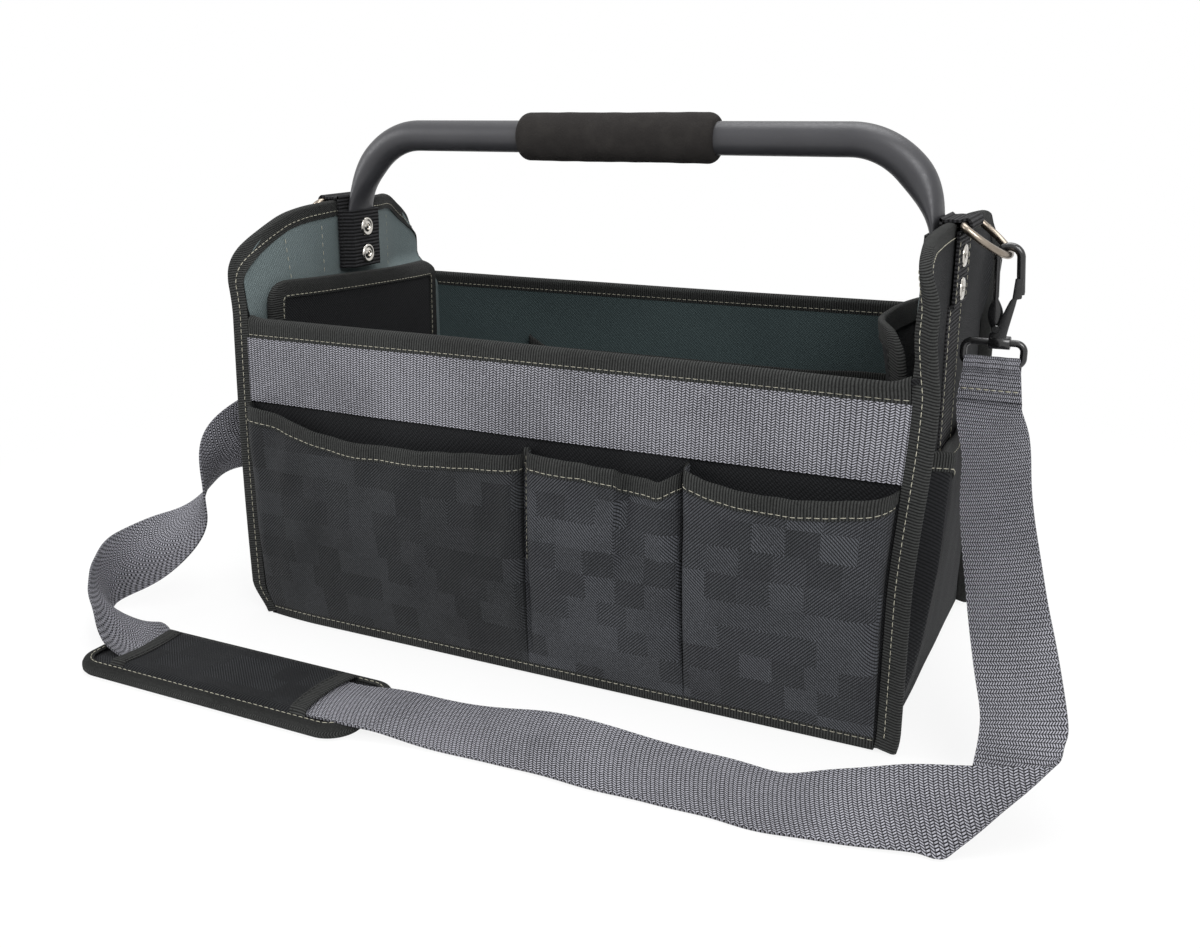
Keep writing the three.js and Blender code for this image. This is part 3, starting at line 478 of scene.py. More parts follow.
class Graph:
    """A node tree, with short ways to add nodes and join them."""

    def __init__(self, owner: bpy.types.Material | bpy.types.World) -> None:
        """Starts an empty tree.

        Args:
            owner: The material or world that the tree belongs to.
        """
        self.owner = owner
        owner.use_nodes = True
        self.tree = owner.node_tree
        self.tree.nodes.clear()

    def add(self, kind: str, **settings: object) -> bpy.types.Node:
        """Adds a node.

        Args:
            kind: Node type.
            settings: Properties of the node.

        Returns:
            The node.
        """
        node = self.tree.nodes.new(kind)
        for key, value in settings.items():
            setattr(node, key, value)
        return node

    def feed(self, socket: Socket, value: Socket | float | tuple) -> None:
        """Links a socket to an output, or sets its own value.

        Args:
            socket: The input.
            value: The output to link, or a constant.
        """
        if isinstance(value, bpy.types.NodeSocket):
            self.tree.links.new(value, socket)
        else:
            socket.default_value = value

    def fed(self, node: bpy.types.Node, *values: Socket | float) -> Socket:
        """Feeds a node's first inputs in their order.

        Args:
            node: The node.
            values: Outputs to link, or constants.

        Returns:
            The node's first output.
        """
        for socket, value in zip(node.inputs, values):
            self.feed(socket, value)
        return node.outputs[0]

    def math(self, operation: str, *values: Socket | float) -> Socket:
        """Adds a Math node and returns its result."""
        return self.fed(self.add("ShaderNodeMath", operation=operation), *values)

    def wave(self, value: Socket, period: float) -> Socket:
        """Returns half a sine, 0 to 1 and back, once per period."""
        return self.math("ABSOLUTE", self.math("SINE", self.math("MULTIPLY", value, math.pi / period)))

    def mix(self, factor: Socket | float, a: Socket | tuple, b: Socket | tuple) -> Socket:
        """Mixes two colours.

        Args:
            factor: Share of the second colour.
            a: First colour.
            b: Second colour.

        Returns:
            The mixed colour.
        """
        node = self.add("ShaderNodeMix", data_type="RGBA")
        for index, value in ((0, factor), (6, a), (7, b)):
            self.feed(node.inputs[index], value)
        return node.outputs[2]

    def ramp(self, value: Socket, low: float, high: float, to_low: float, to_high: float,
             kind: str = "LINEAR") -> Socket:
        """Returns a range of values mapped to another one, clamped."""
        node = self.add("ShaderNodeMapRange", interpolation_type=kind)
        return self.fed(node, value, low, high, to_low, to_high)

    def cloth_place(self) -> tuple[Socket, ...]:
        """Finds the place on the cloth.

        Returns:
            The two UV coordinates in millimetres.
        """
        split = self.add("ShaderNodeSeparateXYZ")
        self.fed(split, self.add("ShaderNodeUVMap", uv_map="UVMap").outputs[0])
        return tuple(self.math("MULTIPLY", split.outputs[k], 1.0 / MM) for k in range(2))

    def noise(self, scale: float, detail: float = 3.0) -> Socket:
        """Adds noise on Object coordinates.

        Args:
            scale: Cells per metre.
            detail: Finer layers.

        Returns:
            Values of about 0 to 1.
        """
        node = self.add("ShaderNodeTexNoise")
        place = self.add("ShaderNodeTexCoord").outputs["Object"]
        for name, value in (("Vector", place), ("Scale", scale), ("Detail", detail)):
            self.feed(node.inputs[name], value)
        return node.outputs[0]

    def cell(self, a: Socket, b: Socket | float) -> Socket:
        """Returns one random value for each whole-number cell."""
        spot = self.fed(self.add("ShaderNodeCombineXYZ"), a, b)
        return self.fed(self.add("ShaderNodeTexWhiteNoise", noise_dimensions="2D"), spot)

    def end_in(self, kind: str, share: Socket, a: bpy.types.Node, b: bpy.types.Node) -> None:
        """Ends the tree in a mix of two shaders.

        Args:
            kind: Type of the output node.
            share: Share of the second shader.
            a: First shader.
            b: Second shader.
        """
        both = self.fed(self.add("ShaderNodeMixShader"), share, a.outputs[0], b.outputs[0])
        self.feed(self.add(kind).inputs[0], both)

    def surface(self, color: Socket | tuple, roughness: Socket | float, height: Socket | None = None,
                depth: float = 0.0003, **fixed: float) -> bpy.types.Material:
        """Ends the tree in one Principled shader.

        Args:
            color: Base colour.
            roughness: Surface roughness.
            height: Bump height, 0 to 1.
            depth: Bump depth in metres.
            fixed: Other shader inputs that are the same all over, by name with _ for a space.

        Returns:
            The finished material.
        """
        shader = self.add("ShaderNodeBsdfPrincipled")
        self.feed(shader.inputs["Base Color"], color)
        self.feed(shader.inputs["Roughness"], roughness)
        for key, value in fixed.items():
            shader.inputs[key.replace("_", " ")].default_value = value
        if height is not None:
            bump = self.add("ShaderNodeBump")
            bump.inputs["Strength"].default_value = 1.0
            bump.inputs["Distance"].default_value = depth
            self.feed(bump.inputs["Height"], height)
            self.feed(shader.inputs["Normal"], bump.outputs[0])
        self.feed(self.add("ShaderNodeOutputMaterial").inputs[0], shader.outputs[0])
        return self.owner


class Weave(Enum):
    """How a cloth's threads cross."""

    TWILL = "diagonal ribs"
    RIB = "ribs across the length"
    CHEVRON = "slanting flecks, turned in each row"
    CHECK = "staggered blocks of two rib directions"


@dataclass(frozen=True)
class Cloth:
    """A woven finish: two tones, a weave and its pitch in mm."""

    name: str
    slot: str
    dark: tuple[int, int, int]
    light: tuple[int, int, int]
    weave: Weave
    pitch: float
    roughness: float = 0.85
    depth: float = 0.0003
    sheen: float = 0.02
    gloss: float = 0.12

    def threads(self, g: Graph) -> tuple[Socket, Socket]:
        """Draws the weave.

        Args:
            g: The material's graph.

        Returns:
            The share of the light tone and the bump height.
        """
        u, v = g.cloth_place()
        p = self.pitch
        if self.weave is Weave.TWILL:
            rib = g.wave(g.math("ADD", u, v), p)
            return rib, g.math("MULTIPLY", rib, g.wave(g.math("SUBTRACT", u, v), p * 1.6))
        if self.weave is Weave.RIB:
            rib = g.wave(u, p)
            return rib, rib
        if self.weave is Weave.CHEVRON:
            row = g.math("FLOOR", g.math("DIVIDE", u, p))
            part = g.math("FRACT", g.math("DIVIDE", u, p))
            odd = g.math("MODULO", g.math("ABSOLUTE", row), 2.0)
            turn = g.math("SUBTRACT", g.math("MULTIPLY", odd, 2.0), 1.0)
            slant = g.math("MULTIPLY", g.math("MULTIPLY", part, turn), 0.9)
            place = g.math("FRACT", g.math("ADD", g.math("DIVIDE", v, p * 0.62), slant))
            fleck = g.ramp(g.math("PINGPONG", place, 0.5), 0.1, 0.27, 0.0, 1.0)
            rib = g.ramp(g.wave(u, p), 0.0, 0.55, 0.15, 1.0)
            over = g.math("MULTIPLY", fleck, rib)
            return over, over
        row = g.math("FLOOR", g.math("DIVIDE", v, BLOCK[1]))
        shift = g.math("MULTIPLY", g.cell(row, 3.0), BLOCK[0])
        column = g.math("FLOOR", g.math("DIVIDE", g.math("ADD", u, shift), BLOCK[0]))
        pick = g.cell(column, row)
        way = g.math("SUBTRACT", g.math("MULTIPLY", g.math("GREATER_THAN", pick, 0.5), 2.0), 1.0)
        rib = g.ramp(g.wave(g.math("ADD", u, g.math("MULTIPLY", v, way)), p), 0.3, 0.9, 0.0, 1.0)
        fine = g.math("MULTIPLY", rib, g.ramp(g.wave(u, p * 0.5), 0.0, 0.8, 0.5, 1.0))
        return g.math("MULTIPLY", fine, g.ramp(pick, 0.2, 0.9, 0.62, 1.1)), fine

    def paint(self, g: Graph) -> bpy.types.Material:
        """Draws the whole finish.

        Args:
            g: The material's graph.

        Returns:
            The finished material.
        """
        tone, height = self.threads(g)
        patchy = g.ramp(g.noise(14.0), 0.3, 0.7, 0.75, 1.15)
        fuzz = g.ramp(g.noise(900.0, 1.0), 0.25, 0.75, 0.7, 1.3)
        share = g.math("MULTIPLY", g.math("MULTIPLY", tone, patchy), fuzz)
        color = g.mix(share, linear(self.dark), linear(self.light))
        rough = g.ramp(share, 0.0, 1.0, min(self.roughness + 0.08, 1.0), self.roughness - 0.08)
        return g.surface(color, rough, height, self.depth, Sheen_Weight=self.sheen, Sheen_Roughness=0.6,
                         Specular_IOR_Level=self.gloss)


@dataclass(frozen=True)
class Coat:
    """A hard finish: paint, plated metal, foam skin or thread, with grain, patches and light wear."""

    name: str
    slot: str
    color: tuple[int, int, int]
    worn: tuple[int, int, int]
    metallic: float
    roughness: float
    grain: float
    depth: float
    patch: float = 30.0
    gloss: float = 0.5

    def paint(self, g: Graph) -> bpy.types.Material:
        """Draws the whole finish.

        Args:
            g: The material's graph.

        Returns:
            The finished material.
        """
        grain = g.noise(self.grain, 4.0)
        share = g.ramp(g.noise(self.patch, 4.0), 0.45, 0.85, 0.0, 0.7)
        color = g.mix(share, linear(self.color), linear(self.worn))
        rough = g.ramp(grain, 0.2, 0.8, self.roughness - 0.06, self.roughness + 0.1)
        return g.surface(color, rough, grain, self.depth, Metallic=self.metallic,
                         Specular_IOR_Level=self.gloss)


TWILL = Cloth("black_twill", "shell_fabric", (8, 8, 9), (31, 32, 34), Weave.TWILL, 2.2, 0.85, 0.0004)
CHECK = Cloth("check_cloth", "pocket_fabric", (6, 7, 8), (78, 80, 85), Weave.CHECK, 2.2, 0.7, 0.00035,
              gloss=0.2)
# Painted shade: the check cloth again, drawn darker for the wide pocket, which catches less light at its
# angle; it is not a different cloth.
CHECK_PAINTED_SHADE = replace(CHECK, name="check_cloth_painted_shade", dark=(5, 6, 7), light=(57, 59, 62))
PAD_CLOTH = replace(CHECK, name="pad_cloth", dark=(4, 4, 5), light=(36, 38, 41), gloss=0.12)
TAPE = Cloth("ribbed_tape", "binding_tape", (4, 4, 4), (56, 57, 56), Weave.RIB, 1.8, 0.9, 0.0006)
LINING = Cloth("lining_cloth", "lining_fabric", (80, 91, 92), (108, 119, 120), Weave.TWILL, 1.6, 0.85, 0.0003)
# Painted shade: the end linings' cloth again, drawn darker for the long walls' linings, which lie in the
# bag's shade inside the walls.
LINING_PAINTED_SHADE = replace(LINING, name="lining_cloth_painted_shade", dark=(46, 57, 59), light=(74, 87, 88), pitch=1.9)
WEBBING = Cloth("webbing_weave", "grey_webbing", (9, 9, 10), (163, 163, 171), Weave.CHEVRON, 2.5, 0.8, 0.0008)
STRAPPING = Cloth("strapping_weave", "black_webbing", (8, 8, 9), (46, 46, 48), Weave.RIB, 2.6, 0.85, 0.0012)
BOARD = Coat("base_board_skin", "base_board", (38, 39, 40), (52, 53, 54), 0.0, 0.7, 260.0, 0.0002)
PAINT = Coat("tube_coat", "tube_paint", (54, 54, 57), (62, 62, 65), 0.2, 0.42, 420.0, 0.00006)
FOAM = Coat("foam_skin", "grip_foam", (38, 36, 35), (50, 48, 46), 0.0, 0.95, 900.0, 0.0005, 80.0, 0.15)
# Ring nickel: both tones are set dark and brownish, partly the metal's warm colour and partly painted shade
# that stands in for the dark surroundings it reflects.
NICKEL = Coat("nickel_plate", "bright_nickel", (150, 140, 128), (118, 108, 98), 1.0, 0.28, 300.0, 0.00002,
              90.0)
STEEL = Coat("steel_coat", "black_steel", (20, 20, 21), (34, 34, 35), 0.1, 0.2, 500.0, 0.00002, 60.0, 0.7)
RIVET = replace(NICKEL, name="rivet_plate", color=(205, 201, 194), worn=(160, 155, 148), roughness=0.22)
THREAD = Coat("seam_thread", "binding_tape", (168, 165, 150), (138, 135, 122), 0.0, 0.85, 1600.0, 0.0002,
              300.0, 0.2)
DARK_THREAD = replace(THREAD, name="dark_thread", color=(34, 34, 33), worn=(22, 22, 22))


def material_of(finish: Cloth | Coat) -> bpy.types.Material:
    """Returns a finish's material, made once."""
    known = bpy.data.materials.get(finish.name)
    return known or finish.paint(Graph(bpy.data.materials.new(finish.name)))


def recoat(node: str, finish: Cloth | Coat) -> None:
    """Gives a node that is shown as it is its finish.

    Args:
        node: Node name.
        finish: What it is made of.
    """
    mesh = bpy.data.objects[node].data
    mesh.materials.clear()
    mesh.materials.append(material_of(finish))


def dress(name: str, shell: Shell, finish: Cloth | Coat, body: str, stands_for: tuple[str, ...] = (),
          thickness: float = 0.0, offset: float = -1.0) -> bpy.types.Object:
    """Makes a piece and gives it its thickness, material and place in the part.

    Args:
        name: Piece name.
        shell: Its surface.
        finish: What it is made of.
        body: The body that it moves with, or an empty word, which leaves the piece unattached.
        stands_for: Nodes that it replaces.
        thickness: Wall thickness in mm for an open sheet.
        offset: Where the wall lies: -1 behind the sheet, 0 on both sides.

    Returns:
        The piece.
    """
    piece = build(name, shell.walled(thickness, offset) if thickness else shell, not thickness)
    piece.data.materials.append(material_of(finish))
    if body:
        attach(piece, body)
    if stands_for:
        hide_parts(*stands_for)
    LOG.info("%s: %d faces", piece.name, len(piece.data.polygons))
    return piece


# The settled shape of the sewn body

@dataclass(frozen=True)
class BagSizes:
    """Sizes that the sewn pieces share, as in the part's source."""

    end: float = 230.0
    front: float = 127.0
    wall: float = 225.0
    arch_half: float = 123.2
    crown: float = 296.5

    def outline(self, side: str) -> Array:
        """An arch's outline above its upright edges: slack on the left, squarer on the right.

        Args:
            side: right or left.

        Returns:
            (points, 2) of y and z, from front to back.
        """
        near = back = [
            (123.2, 260), (122.4, 273), (118, 284), (110, 291), (96, 294.5), (70, 296), (34, 296.5)]
        if side == "left":
            near = [
                (123.2, 246), (122.2, 256), (114, 268.5), (95, 280.5), (77, 289), (57, 293.5), (34, 295.5)]
            back = [(123.2, 246), (121.5, 258), (113, 271), (99, 284), (86, 291), (68, 294.5), (34, 296)]
        stops = np.vstack([near * np.array([-1.0, 1.0]), [[0.0, self.crown]], back[::-1]])
        return spline(stops, 8)

    def arch_line(self, side: str, foot: float, grow: float = 0.0) -> tuple[Array, Array]:
        """An end panel's outline from the front edge over the crown to the back edge.

        Args:
            side: right or left.
            foot: Height at which both ends start.
            grow: How far the outline is moved out.

        Returns:
            (points, 2) of y and z, and the outward direction at each point.
        """
        bend = self.outline(side)
        rise = np.linspace(foot, bend[0, 1], int((bend[0, 1] - foot) / 4.0) + 3)[:-1]
        upright = np.stack([np.full_like(rise, self.arch_half), rise], axis=-1)
        line = np.vstack([upright * [-1.0, 1.0], bend, upright[::-1]])
        along = unit(np.gradient(line, axis=0))
        out = np.stack([-along[:, 1], along[:, 0]], axis=-1)
        return line + out * grow, out

    def arch_top(self, side: str, y: Array) -> Array:
        """Height of an end panel's outline at y."""
        bend = self.outline(side)
        return np.interp(y, bend[:, 0], bend[:, 1])


BAG = BagSizes()
RING_BAR = (235.5, 297.0)
WALL_BOW = 4.5
RIM_PULL = 4.0
FOOT_TUCK = 8.0
CORNER_LEAN = 7.0
LEFT_FLARE = 25.0


def settle(p: Array) -> Array:
    """Moves points of the square sewn body to where the cloth settles.

    The front and back bow out at mid height and draw in at the rim, the front rim sags, the ends bow a
    little, the front right corner leans out towards its top, the left corners tuck in at the floor, and the
    left arch flares outwards beside the handle's foot, most at the back.

    Args:
        p: (points, 3) in mm.

    Returns:
        The settled points.
    """
    x, y, z = p[:, 0], p[:, 1], p[:, 2]
    low = np.clip(z / BAG.wall, 0.0, 1.0)
    middle = np.sin(math.pi * low)
    along = np.cos(math.pi * np.clip(x / 476.0, -0.5, 0.5))
    across = np.cos(math.pi * np.clip(y / 254.0, -0.5, 0.5))
    wall = smooth((np.abs(y) - 85.0) / 35.0)
    end = smooth((np.abs(x) - 190.0) / 32.0)
    bow = (WALL_BOW * middle - RIM_PULL * low ** 7) * along * wall
    waver = 1.1 * ripple(x, z, 11, 150.0) * wall * along * low
    tuck = (1.0 - smooth(z / 26.0)) * (x < 0.0)
    pull_x = (FOOT_TUCK * tuck - 2.0 * middle * (x < 0.0) * wall) * smooth((np.abs(x) - 205.0) / 32.0)
    pull_y = 3.0 * tuck * smooth((np.abs(x) - 180.0) / 55.0) * wall
    lean = CORNER_LEAN * smooth((z - 90.0) / 125.0) * (1.0 - 0.65 * smooth((z - 212.0) / 40.0))
    pull_x = pull_x - lean * wall * (y < 0.0) * smooth((x - 180.0) / 45.0)
    held = 1.0 - smooth((np.abs(x) - 214.0) / 14.0)
    sag = (3.4 + 0.006 * x) * smooth((z - 211.0) / 13.0) * wall * (y < 0.0) * held
    out_x = 0.5 * middle * across * end
    up = smooth((z - 226.0) / 62.0)
    early = smooth((z - 216.0) / 26.0)
    back = smooth((y - 26.0) / 75.0)
    near = smooth((-y - 26.0) / 75.0)
    left = early * LEFT_FLARE * back + up * 7.0 * near
    flare = np.where(x < 0.0, left, up * (3.0 * back + 2.0 * near)) * end
    return np.stack([
        x + np.sign(x) * (out_x - pull_x + flare),
        y + np.sign(y) * (bow - pull_y) + waver,
        z - sag,
    ], axis=-1)


def sew(name: str, shell: Shell, finish: Cloth | Coat, stands_for: tuple[str, ...] = (),
        thickness: float = 0.0) -> None:
    """Makes a piece of the sewn body, settled like the cloth round it.

    Args:
        name: Piece name.
        shell: Its surface on the square body.
        finish: What it is made of.
        stands_for: Nodes that it replaces.
        thickness: Wall thickness in mm for an open sheet.
    """
    dress(name, shell.moved(settle), finish, "bag", stands_for, thickness)


# Camera, light and stage

@dataclass
class Studio:
    """Camera at the photograph's viewing angle, soft light, pale floor."""

    azimuth: float = 27.12
    elevation: float = 15.63
    roll: float = -0.38
    distance: float = 0.9181
    target: tuple[float, float, float] = (-0.0509, 0.0, 0.1241)
    focal: float = 1225.0
    centre: tuple[float, float] = (553.0, 441.0)
    image: tuple[int, int] = (1200, 948)
    sensor: float = 36.0

    def put(self, data: bpy.types.ID, axes: tuple[Array, Array, Array], at: Array) -> bpy.types.Object:
        """Puts a camera or lamp into the scene.

        Args:
            data: The camera or lamp.
            axes: Its own three axes.
            at: Its place in metres.

        Returns:
            The new object.
        """
        place = np.eye(4)
        place[:3, :3] = np.stack(axes, axis=1)
        place[:3, 3] = at
        thing = bpy.data.objects.new(data.name, data)
        thing.matrix_world = Matrix(place.tolist())
        bpy.context.scene.collection.objects.link(thing)
        return thing

    def camera(self) -> None:
        """Adds the camera: the lens and shift follow from the focal length and centre in pixels."""
        az, el, roll = (math.radians(a) for a in (self.azimuth, self.elevation, self.roll))
        back = np.array([math.sin(az) * math.cos(el), -math.cos(az) * math.cos(el), math.sin(el)])
        right = np.array([math.cos(az), math.sin(az), 0.0])
        up = np.cross(back, right)
        turned_right = math.cos(roll) * right + math.sin(roll) * up
        turned_up = -math.sin(roll) * right + math.cos(roll) * up
        data = bpy.data.cameras.new("camera")
        data.sensor_width = self.sensor
        data.lens = self.focal * self.sensor / self.image[0]
        data.shift_x = (self.image[0] / 2 - self.centre[0]) / self.image[0]
        data.shift_y = (self.centre[1] - self.image[1] / 2) / self.image[0]
        data.clip_end = 50.0
        at = np.asarray(self.target) + back * self.distance
        bpy.context.scene.camera = self.put(data, (turned_right, turned_up, back), at)

    def lamp(self, name: str, at: tuple[float, float, float], size: float, power: float) -> None:
        """Adds a square soft lamp that looks at the bag.

        Args:
            name: Lamp name.
            at: Its place in metres.
            size: Its side in metres.
            power: Its power in watts.
        """
        data = bpy.data.lights.new(name, "AREA")
        data.size = size
        data.energy = power
        away = unit(np.asarray(at) - np.array([0.0, 0.0, 0.15]))
        right = unit(np.cross(Z_AXIS, away))
        self.put(data, (right, np.cross(away, right), away), at)

    def seen(self, g: Graph) -> Socket:
        """Tells the rays that show the background: camera, glossy and transmission rays.

        Args:
            g: The graph to add to.

        Returns:
            1 for those rays, 0 for the others.
        """
        rays = g.add("ShaderNodeLightPath").outputs
        direct = g.math("MAXIMUM", rays["Is Camera Ray"], rays["Is Glossy Ray"])
        return g.math("MAXIMUM", direct, rays["Is Transmission Ray"])

    def world(self) -> None:
        """Makes the surround white where it is seen and a plain grey light elsewhere."""
        g = Graph(bpy.data.worlds.new("studio"))
        light, white = g.add("ShaderNodeBackground"), g.add("ShaderNodeBackground")
        g.fed(light, (1.0, 1.0, 1.0, 1.0), 0.55)
        g.fed(white, (1.0, 1.0, 1.0, 1.0), 1.0)
        g.end_in("ShaderNodeOutputWorld", self.seen(g), light, white)
        bpy.context.scene.world = g.owner

    def floor(self) -> None:
        """Lays a white floor that keeps a faint shadow near the bag and glows white away from it."""
        side = np.linspace(-4000.0, 4000.0, 9)
        ground = build("floor", grid(stacked(side[:, None], side, -0.4)).facing((0, 0, 1)))
        g = Graph(bpy.data.materials.new("white_floor"))
        lit, glow = g.add("ShaderNodeBsdfDiffuse"), g.add("ShaderNodeEmission")
        g.fed(lit, (0.9, 0.9, 0.9, 1.0))
        reach = g.add("ShaderNodeVectorMath", operation="LENGTH")
        g.fed(reach, g.add("ShaderNodeTexCoord").outputs["Object"])
        fade = g.ramp(reach.outputs["Value"], 0.35, 0.8, 0.86, 1.0, "SMOOTHSTEP")
        share = g.math("MULTIPLY", self.seen(g), fade)
        g.end_in("ShaderNodeOutputMaterial", share, lit, glow)
        ground.data.materials.append(g.owner)

    def build(self) -> None:
        """Sets up the whole studio."""
        self.camera()
        self.world()
        self.floor()
        self.lamp("key", (1.7, -1.9, 1.9), 1.4, 56.0)
        self.lamp("fill", (-2.2, -1.3, 1.2), 1.2, 26.0)
        self.lamp("top", (0.1, 0.4, 2.3), 1.6, 36.0)
        bpy.context.scene.view_settings.view_transform = "Standard"


# Shoulder strap

@dataclass(frozen=True)
class Stop:
    """One stop of the strap's route: its centre, the direction across, and half the width there."""

    at: tuple[float, float, float]
    across: tuple[float, float, float]
    half: float = 24.0


@dataclass
class ShoulderStrap:
    """The flat strap from both hooks to the pad, its sewn tails, and the pad on the floor."""

    half: float = 24.0
    thickness: float = 1.6
    loop_x: float = 255.618
    loop_low: float = 210.774
    tail: float = 23.0
    on_pad: float = 8.6
    crease: tuple[float, float, float] = (306.5, -186.0, 25.0)
    comes_in: tuple[float, float, float] = (0.06, -0.544, -0.84)
    goes_out: tuple[float, float, float] = (-0.94, -0.33, 0.0)
    crease_radius: float = 4.0
    cuts: tuple[float, float, float] = (30.0, 66.0, 300.0)

    def tail_half(self, z: Array | float) -> Array:
        """Half width of the sewn tail at height z: drawn in at the loop, wider towards its end."""
        return 16.6 + 2.8 * np.clip((self.loop_low - z) / self.tail, 0.0, 1.0)

    def right_fall(self) -> list[Stop]:
        """The route from the right hook down to the fold.

        Returns:
            Its stops.
        """
        start = self.loop_low - self.tail - 0.3
        x = self.loop_x
        return [
            Stop((x, 1.0, start), (1, 0, 0), 19.6),
            Stop((x, 1.0, start - 8), (1, 0, 0), 19.6),
            Stop((264.2, -18, 164), (0.95, -0.24, 0.16), 20.6),
            Stop((270.2, -46.8, 138), (0.93, -0.26, 0.25), 21.9),
            Stop((286, -91.5, 94), (0.91, -0.25, 0.34), 23.4),
            Stop((296, -117, 70), (0.9, -0.2, 0.38)),
            Stop((303.5, -138, 56), (0.86, -0.2, 0.46)),
            Stop((307.5, -157, 44), (0.88, -0.02, 0.42)),
        ]

    def right_floor(self) -> list[Stop]:
        """The route from the fold along the floor to the middle of the pad.

        Returns:
            Its stops.
        """
        pad = self.on_pad
        return [
            Stop((262, -202, 15.5), (0.08, 0.8, 0.58)),
            Stop((221, -209.7, 9.6), (-0.02, 0.94, 0.34)),
            Stop((190.4, -214, 5.4), (-0.05, 0.985, 0.16)),
            Stop((157, -213.5, 5.8), (-0.06, 0.98, 0.18)),
            Stop((119, -215.5, 6.6), (-0.06, 0.975, 0.21)),
            Stop((90, -218, 8.8), (-0.06, 0.955, 0.29)),
            Stop((51, -217, 8.6), (-0.06, 0.95, 0.29)),
            Stop((20, -218.5, 6.4), (0, 0.98, 0.2)),
            Stop((-18, -220.5, 5), (0, 0.995, 0.1)),
            Stop((-48, -224, 8.2), (0, 1, 0.03)),
            Stop((-72, -229, pad + 0.4), (0, 1, 0)),
            Stop((-100, -229.5, pad), (0, 1, 0)),
            Stop((-168, -229, pad), (0, 1, 0)),
        ]

    def left_fall(self) -> list[Stop]:
        """The route from the left hook, with its half twist and turn, to the middle of the pad.

        Returns:
            Its stops.
        """
        start = self.loop_low - self.tail - 0.3
        x = self.loop_x
        pad = self.on_pad
        return [
            Stop((-x, 1.0, start), (1, 0, 0), 19.6),
            Stop((-x, 1.0, start - 8), (1, 0, 0), 19.6),
            Stop((-264, -14, 165), (0.9, -0.25, 0.35), 21.6),
            Stop((-279, -45, 139), (0.4, 0, 0.9)),
            Stop((-290, -73, 118), (-0.03, 0.12, 0.99)),
            Stop((-304, -88, 95), (0.35, -0.6, 0.72)),
            Stop((-308, -97, 76), (0.64, -0.69, 0.3)),
            Stop((-311.7, -107, 61), (0.8, -0.58, -0.13)),
            Stop((-317.5, -125, 49), (0.78, -0.34, -0.5)),
            Stop((-327, -148, 38.5), (0.55, -0.12, -0.82)),
            Stop((-333, -165, 34), (0.2, 0.05, -0.98)),
            Stop((-332.5, -179, 31), (0, 0.16, -0.99)),
            Stop((-325, -193, 26.5), (-0.2, 0.46, -0.86)),
            Stop((-311, -202, 22.5), (-0.4, 0.66, -0.64)),
            Stop((-292, -209, 19.4), (-0.4, 0.84, -0.34)),
            Stop((-278, -214, 14.8), (-0.24, 0.95, -0.03)),
            Stop((-267, -217.5, 11.4), (-0.12, 0.99, 0.07), 23.5),
            Stop((-256, -222, pad + 0.5), (-0.05, 1, 0), 21.6),
            Stop((-232, -223.5, pad + 0.2), (0, 1, 0.005), 23.0),
            Stop((-174, -228.5, pad), (0, 1, 0)),
        ]

    def edges(self, stops: list[Stop], steps: int) -> tuple[Array, Array]:
        """The strap's two edges along a route, with the across direction kept square to the route.

        Args:
            stops: The route.
            steps: Samples between stops.

        Returns:
            Points of the two edges.
        """
        centre = spline(np.array([s.at for s in stops], float), steps)
        across = spline(np.array([s.across for s in stops], float), steps)
        place = np.arange(len(centre)) / steps
        half = np.interp(place, np.arange(len(stops)), [s.half for s in stops])[:, None]
        along = unit(np.gradient(centre, axis=0))
        side = unit(across - (across * along).sum(axis=1, keepdims=True) * along)
        return centre - side * half, centre + side * half

    def fold(self, steps: int) -> tuple[Array, Array]:
        """The diagonal flat fold: the strap rolls half round a thin slanting crease, towards the front.

        Args:
            steps: Rulings round the roll.

        Returns:
            Points of the two edges.
        """
        inward = unit(np.array(self.comes_in))
        outward = unit(np.array(self.goes_out))
        ridge = unit(inward + outward)
        slant = math.acos(float(ridge @ inward))
        ahead = unit(inward - ridge * math.cos(slant))
        front = unit(np.cross(ridge, ahead))
        front = -front if front[1] > 0 else front
        turn = np.linspace(0.0, math.pi, steps)[:, None]
        past = self.crease_radius * turn
        roll = (np.array(self.crease) + ahead * self.crease_radius * np.sin(turn)
                + front * self.crease_radius * (1.0 - np.cos(turn)))
        slide = 1.0 / math.sin(slant)
        return (roll + ridge * (past * math.cos(slant) + self.half) * slide,
                roll + ridge * (past * math.cos(slant) - self.half) * slide)

    def ribbon(self, a: Array, b: Array, seed: int) -> tuple[Array, Array]:
        """A grid across the strap between its edges, with slight waviness, and its flat place.

        Args:
            a: Points of one edge.
            b: Points of the other edge.
            seed: Chooses the waviness.

        Returns:
            The grid's points and their UV in mm.
        """
        share = np.linspace(0.0, 1.0, 11)[None, :, None]
        points = a[:, None] + (b - a)[:, None] * share
        out = unit(np.cross(np.gradient((a + b) / 2.0, axis=0), b - a))[:, None]
        run = lengths(points, 0)
        across = np.broadcast_to(np.linspace(-1.0, 1.0, 11), run.shape)
        wave = 0.35 * ripple(run, across * 24.0, seed, 60.0) + 0.5 * (across ** 2 - 0.5)
        held = smooth(run / 30.0) * smooth((run[-1:] - run) / 30.0)
        points = points + out * (wave * held)[..., None]
        return points, np.stack([run, across * self.half], axis=-1)

    def eased(self, a: Array, b: Array, passes: int) -> tuple[Array, Array]:
        """Both edges at even steps along the strap, with kinks rounded by passes of a 1-2-1 mean.

        Args:
            a: Points of one edge.
            b: Points of the other edge.
            passes: How often the mean is taken. The ends stay.

        Returns:
            The new points of the two edges.
        """
        run = lengths((a + b) / 2.0)
        place = np.linspace(0.0, run[-1], int(run[-1] / 2.5))
        both = sampled(place, run, np.column_stack([a, b]))
        for _ in range(passes):
            both[1:-1] = (both[:-2] + 2.0 * both[1:-1] + both[2:]) / 4.0
        return both[:, :3], both[:, 3:]

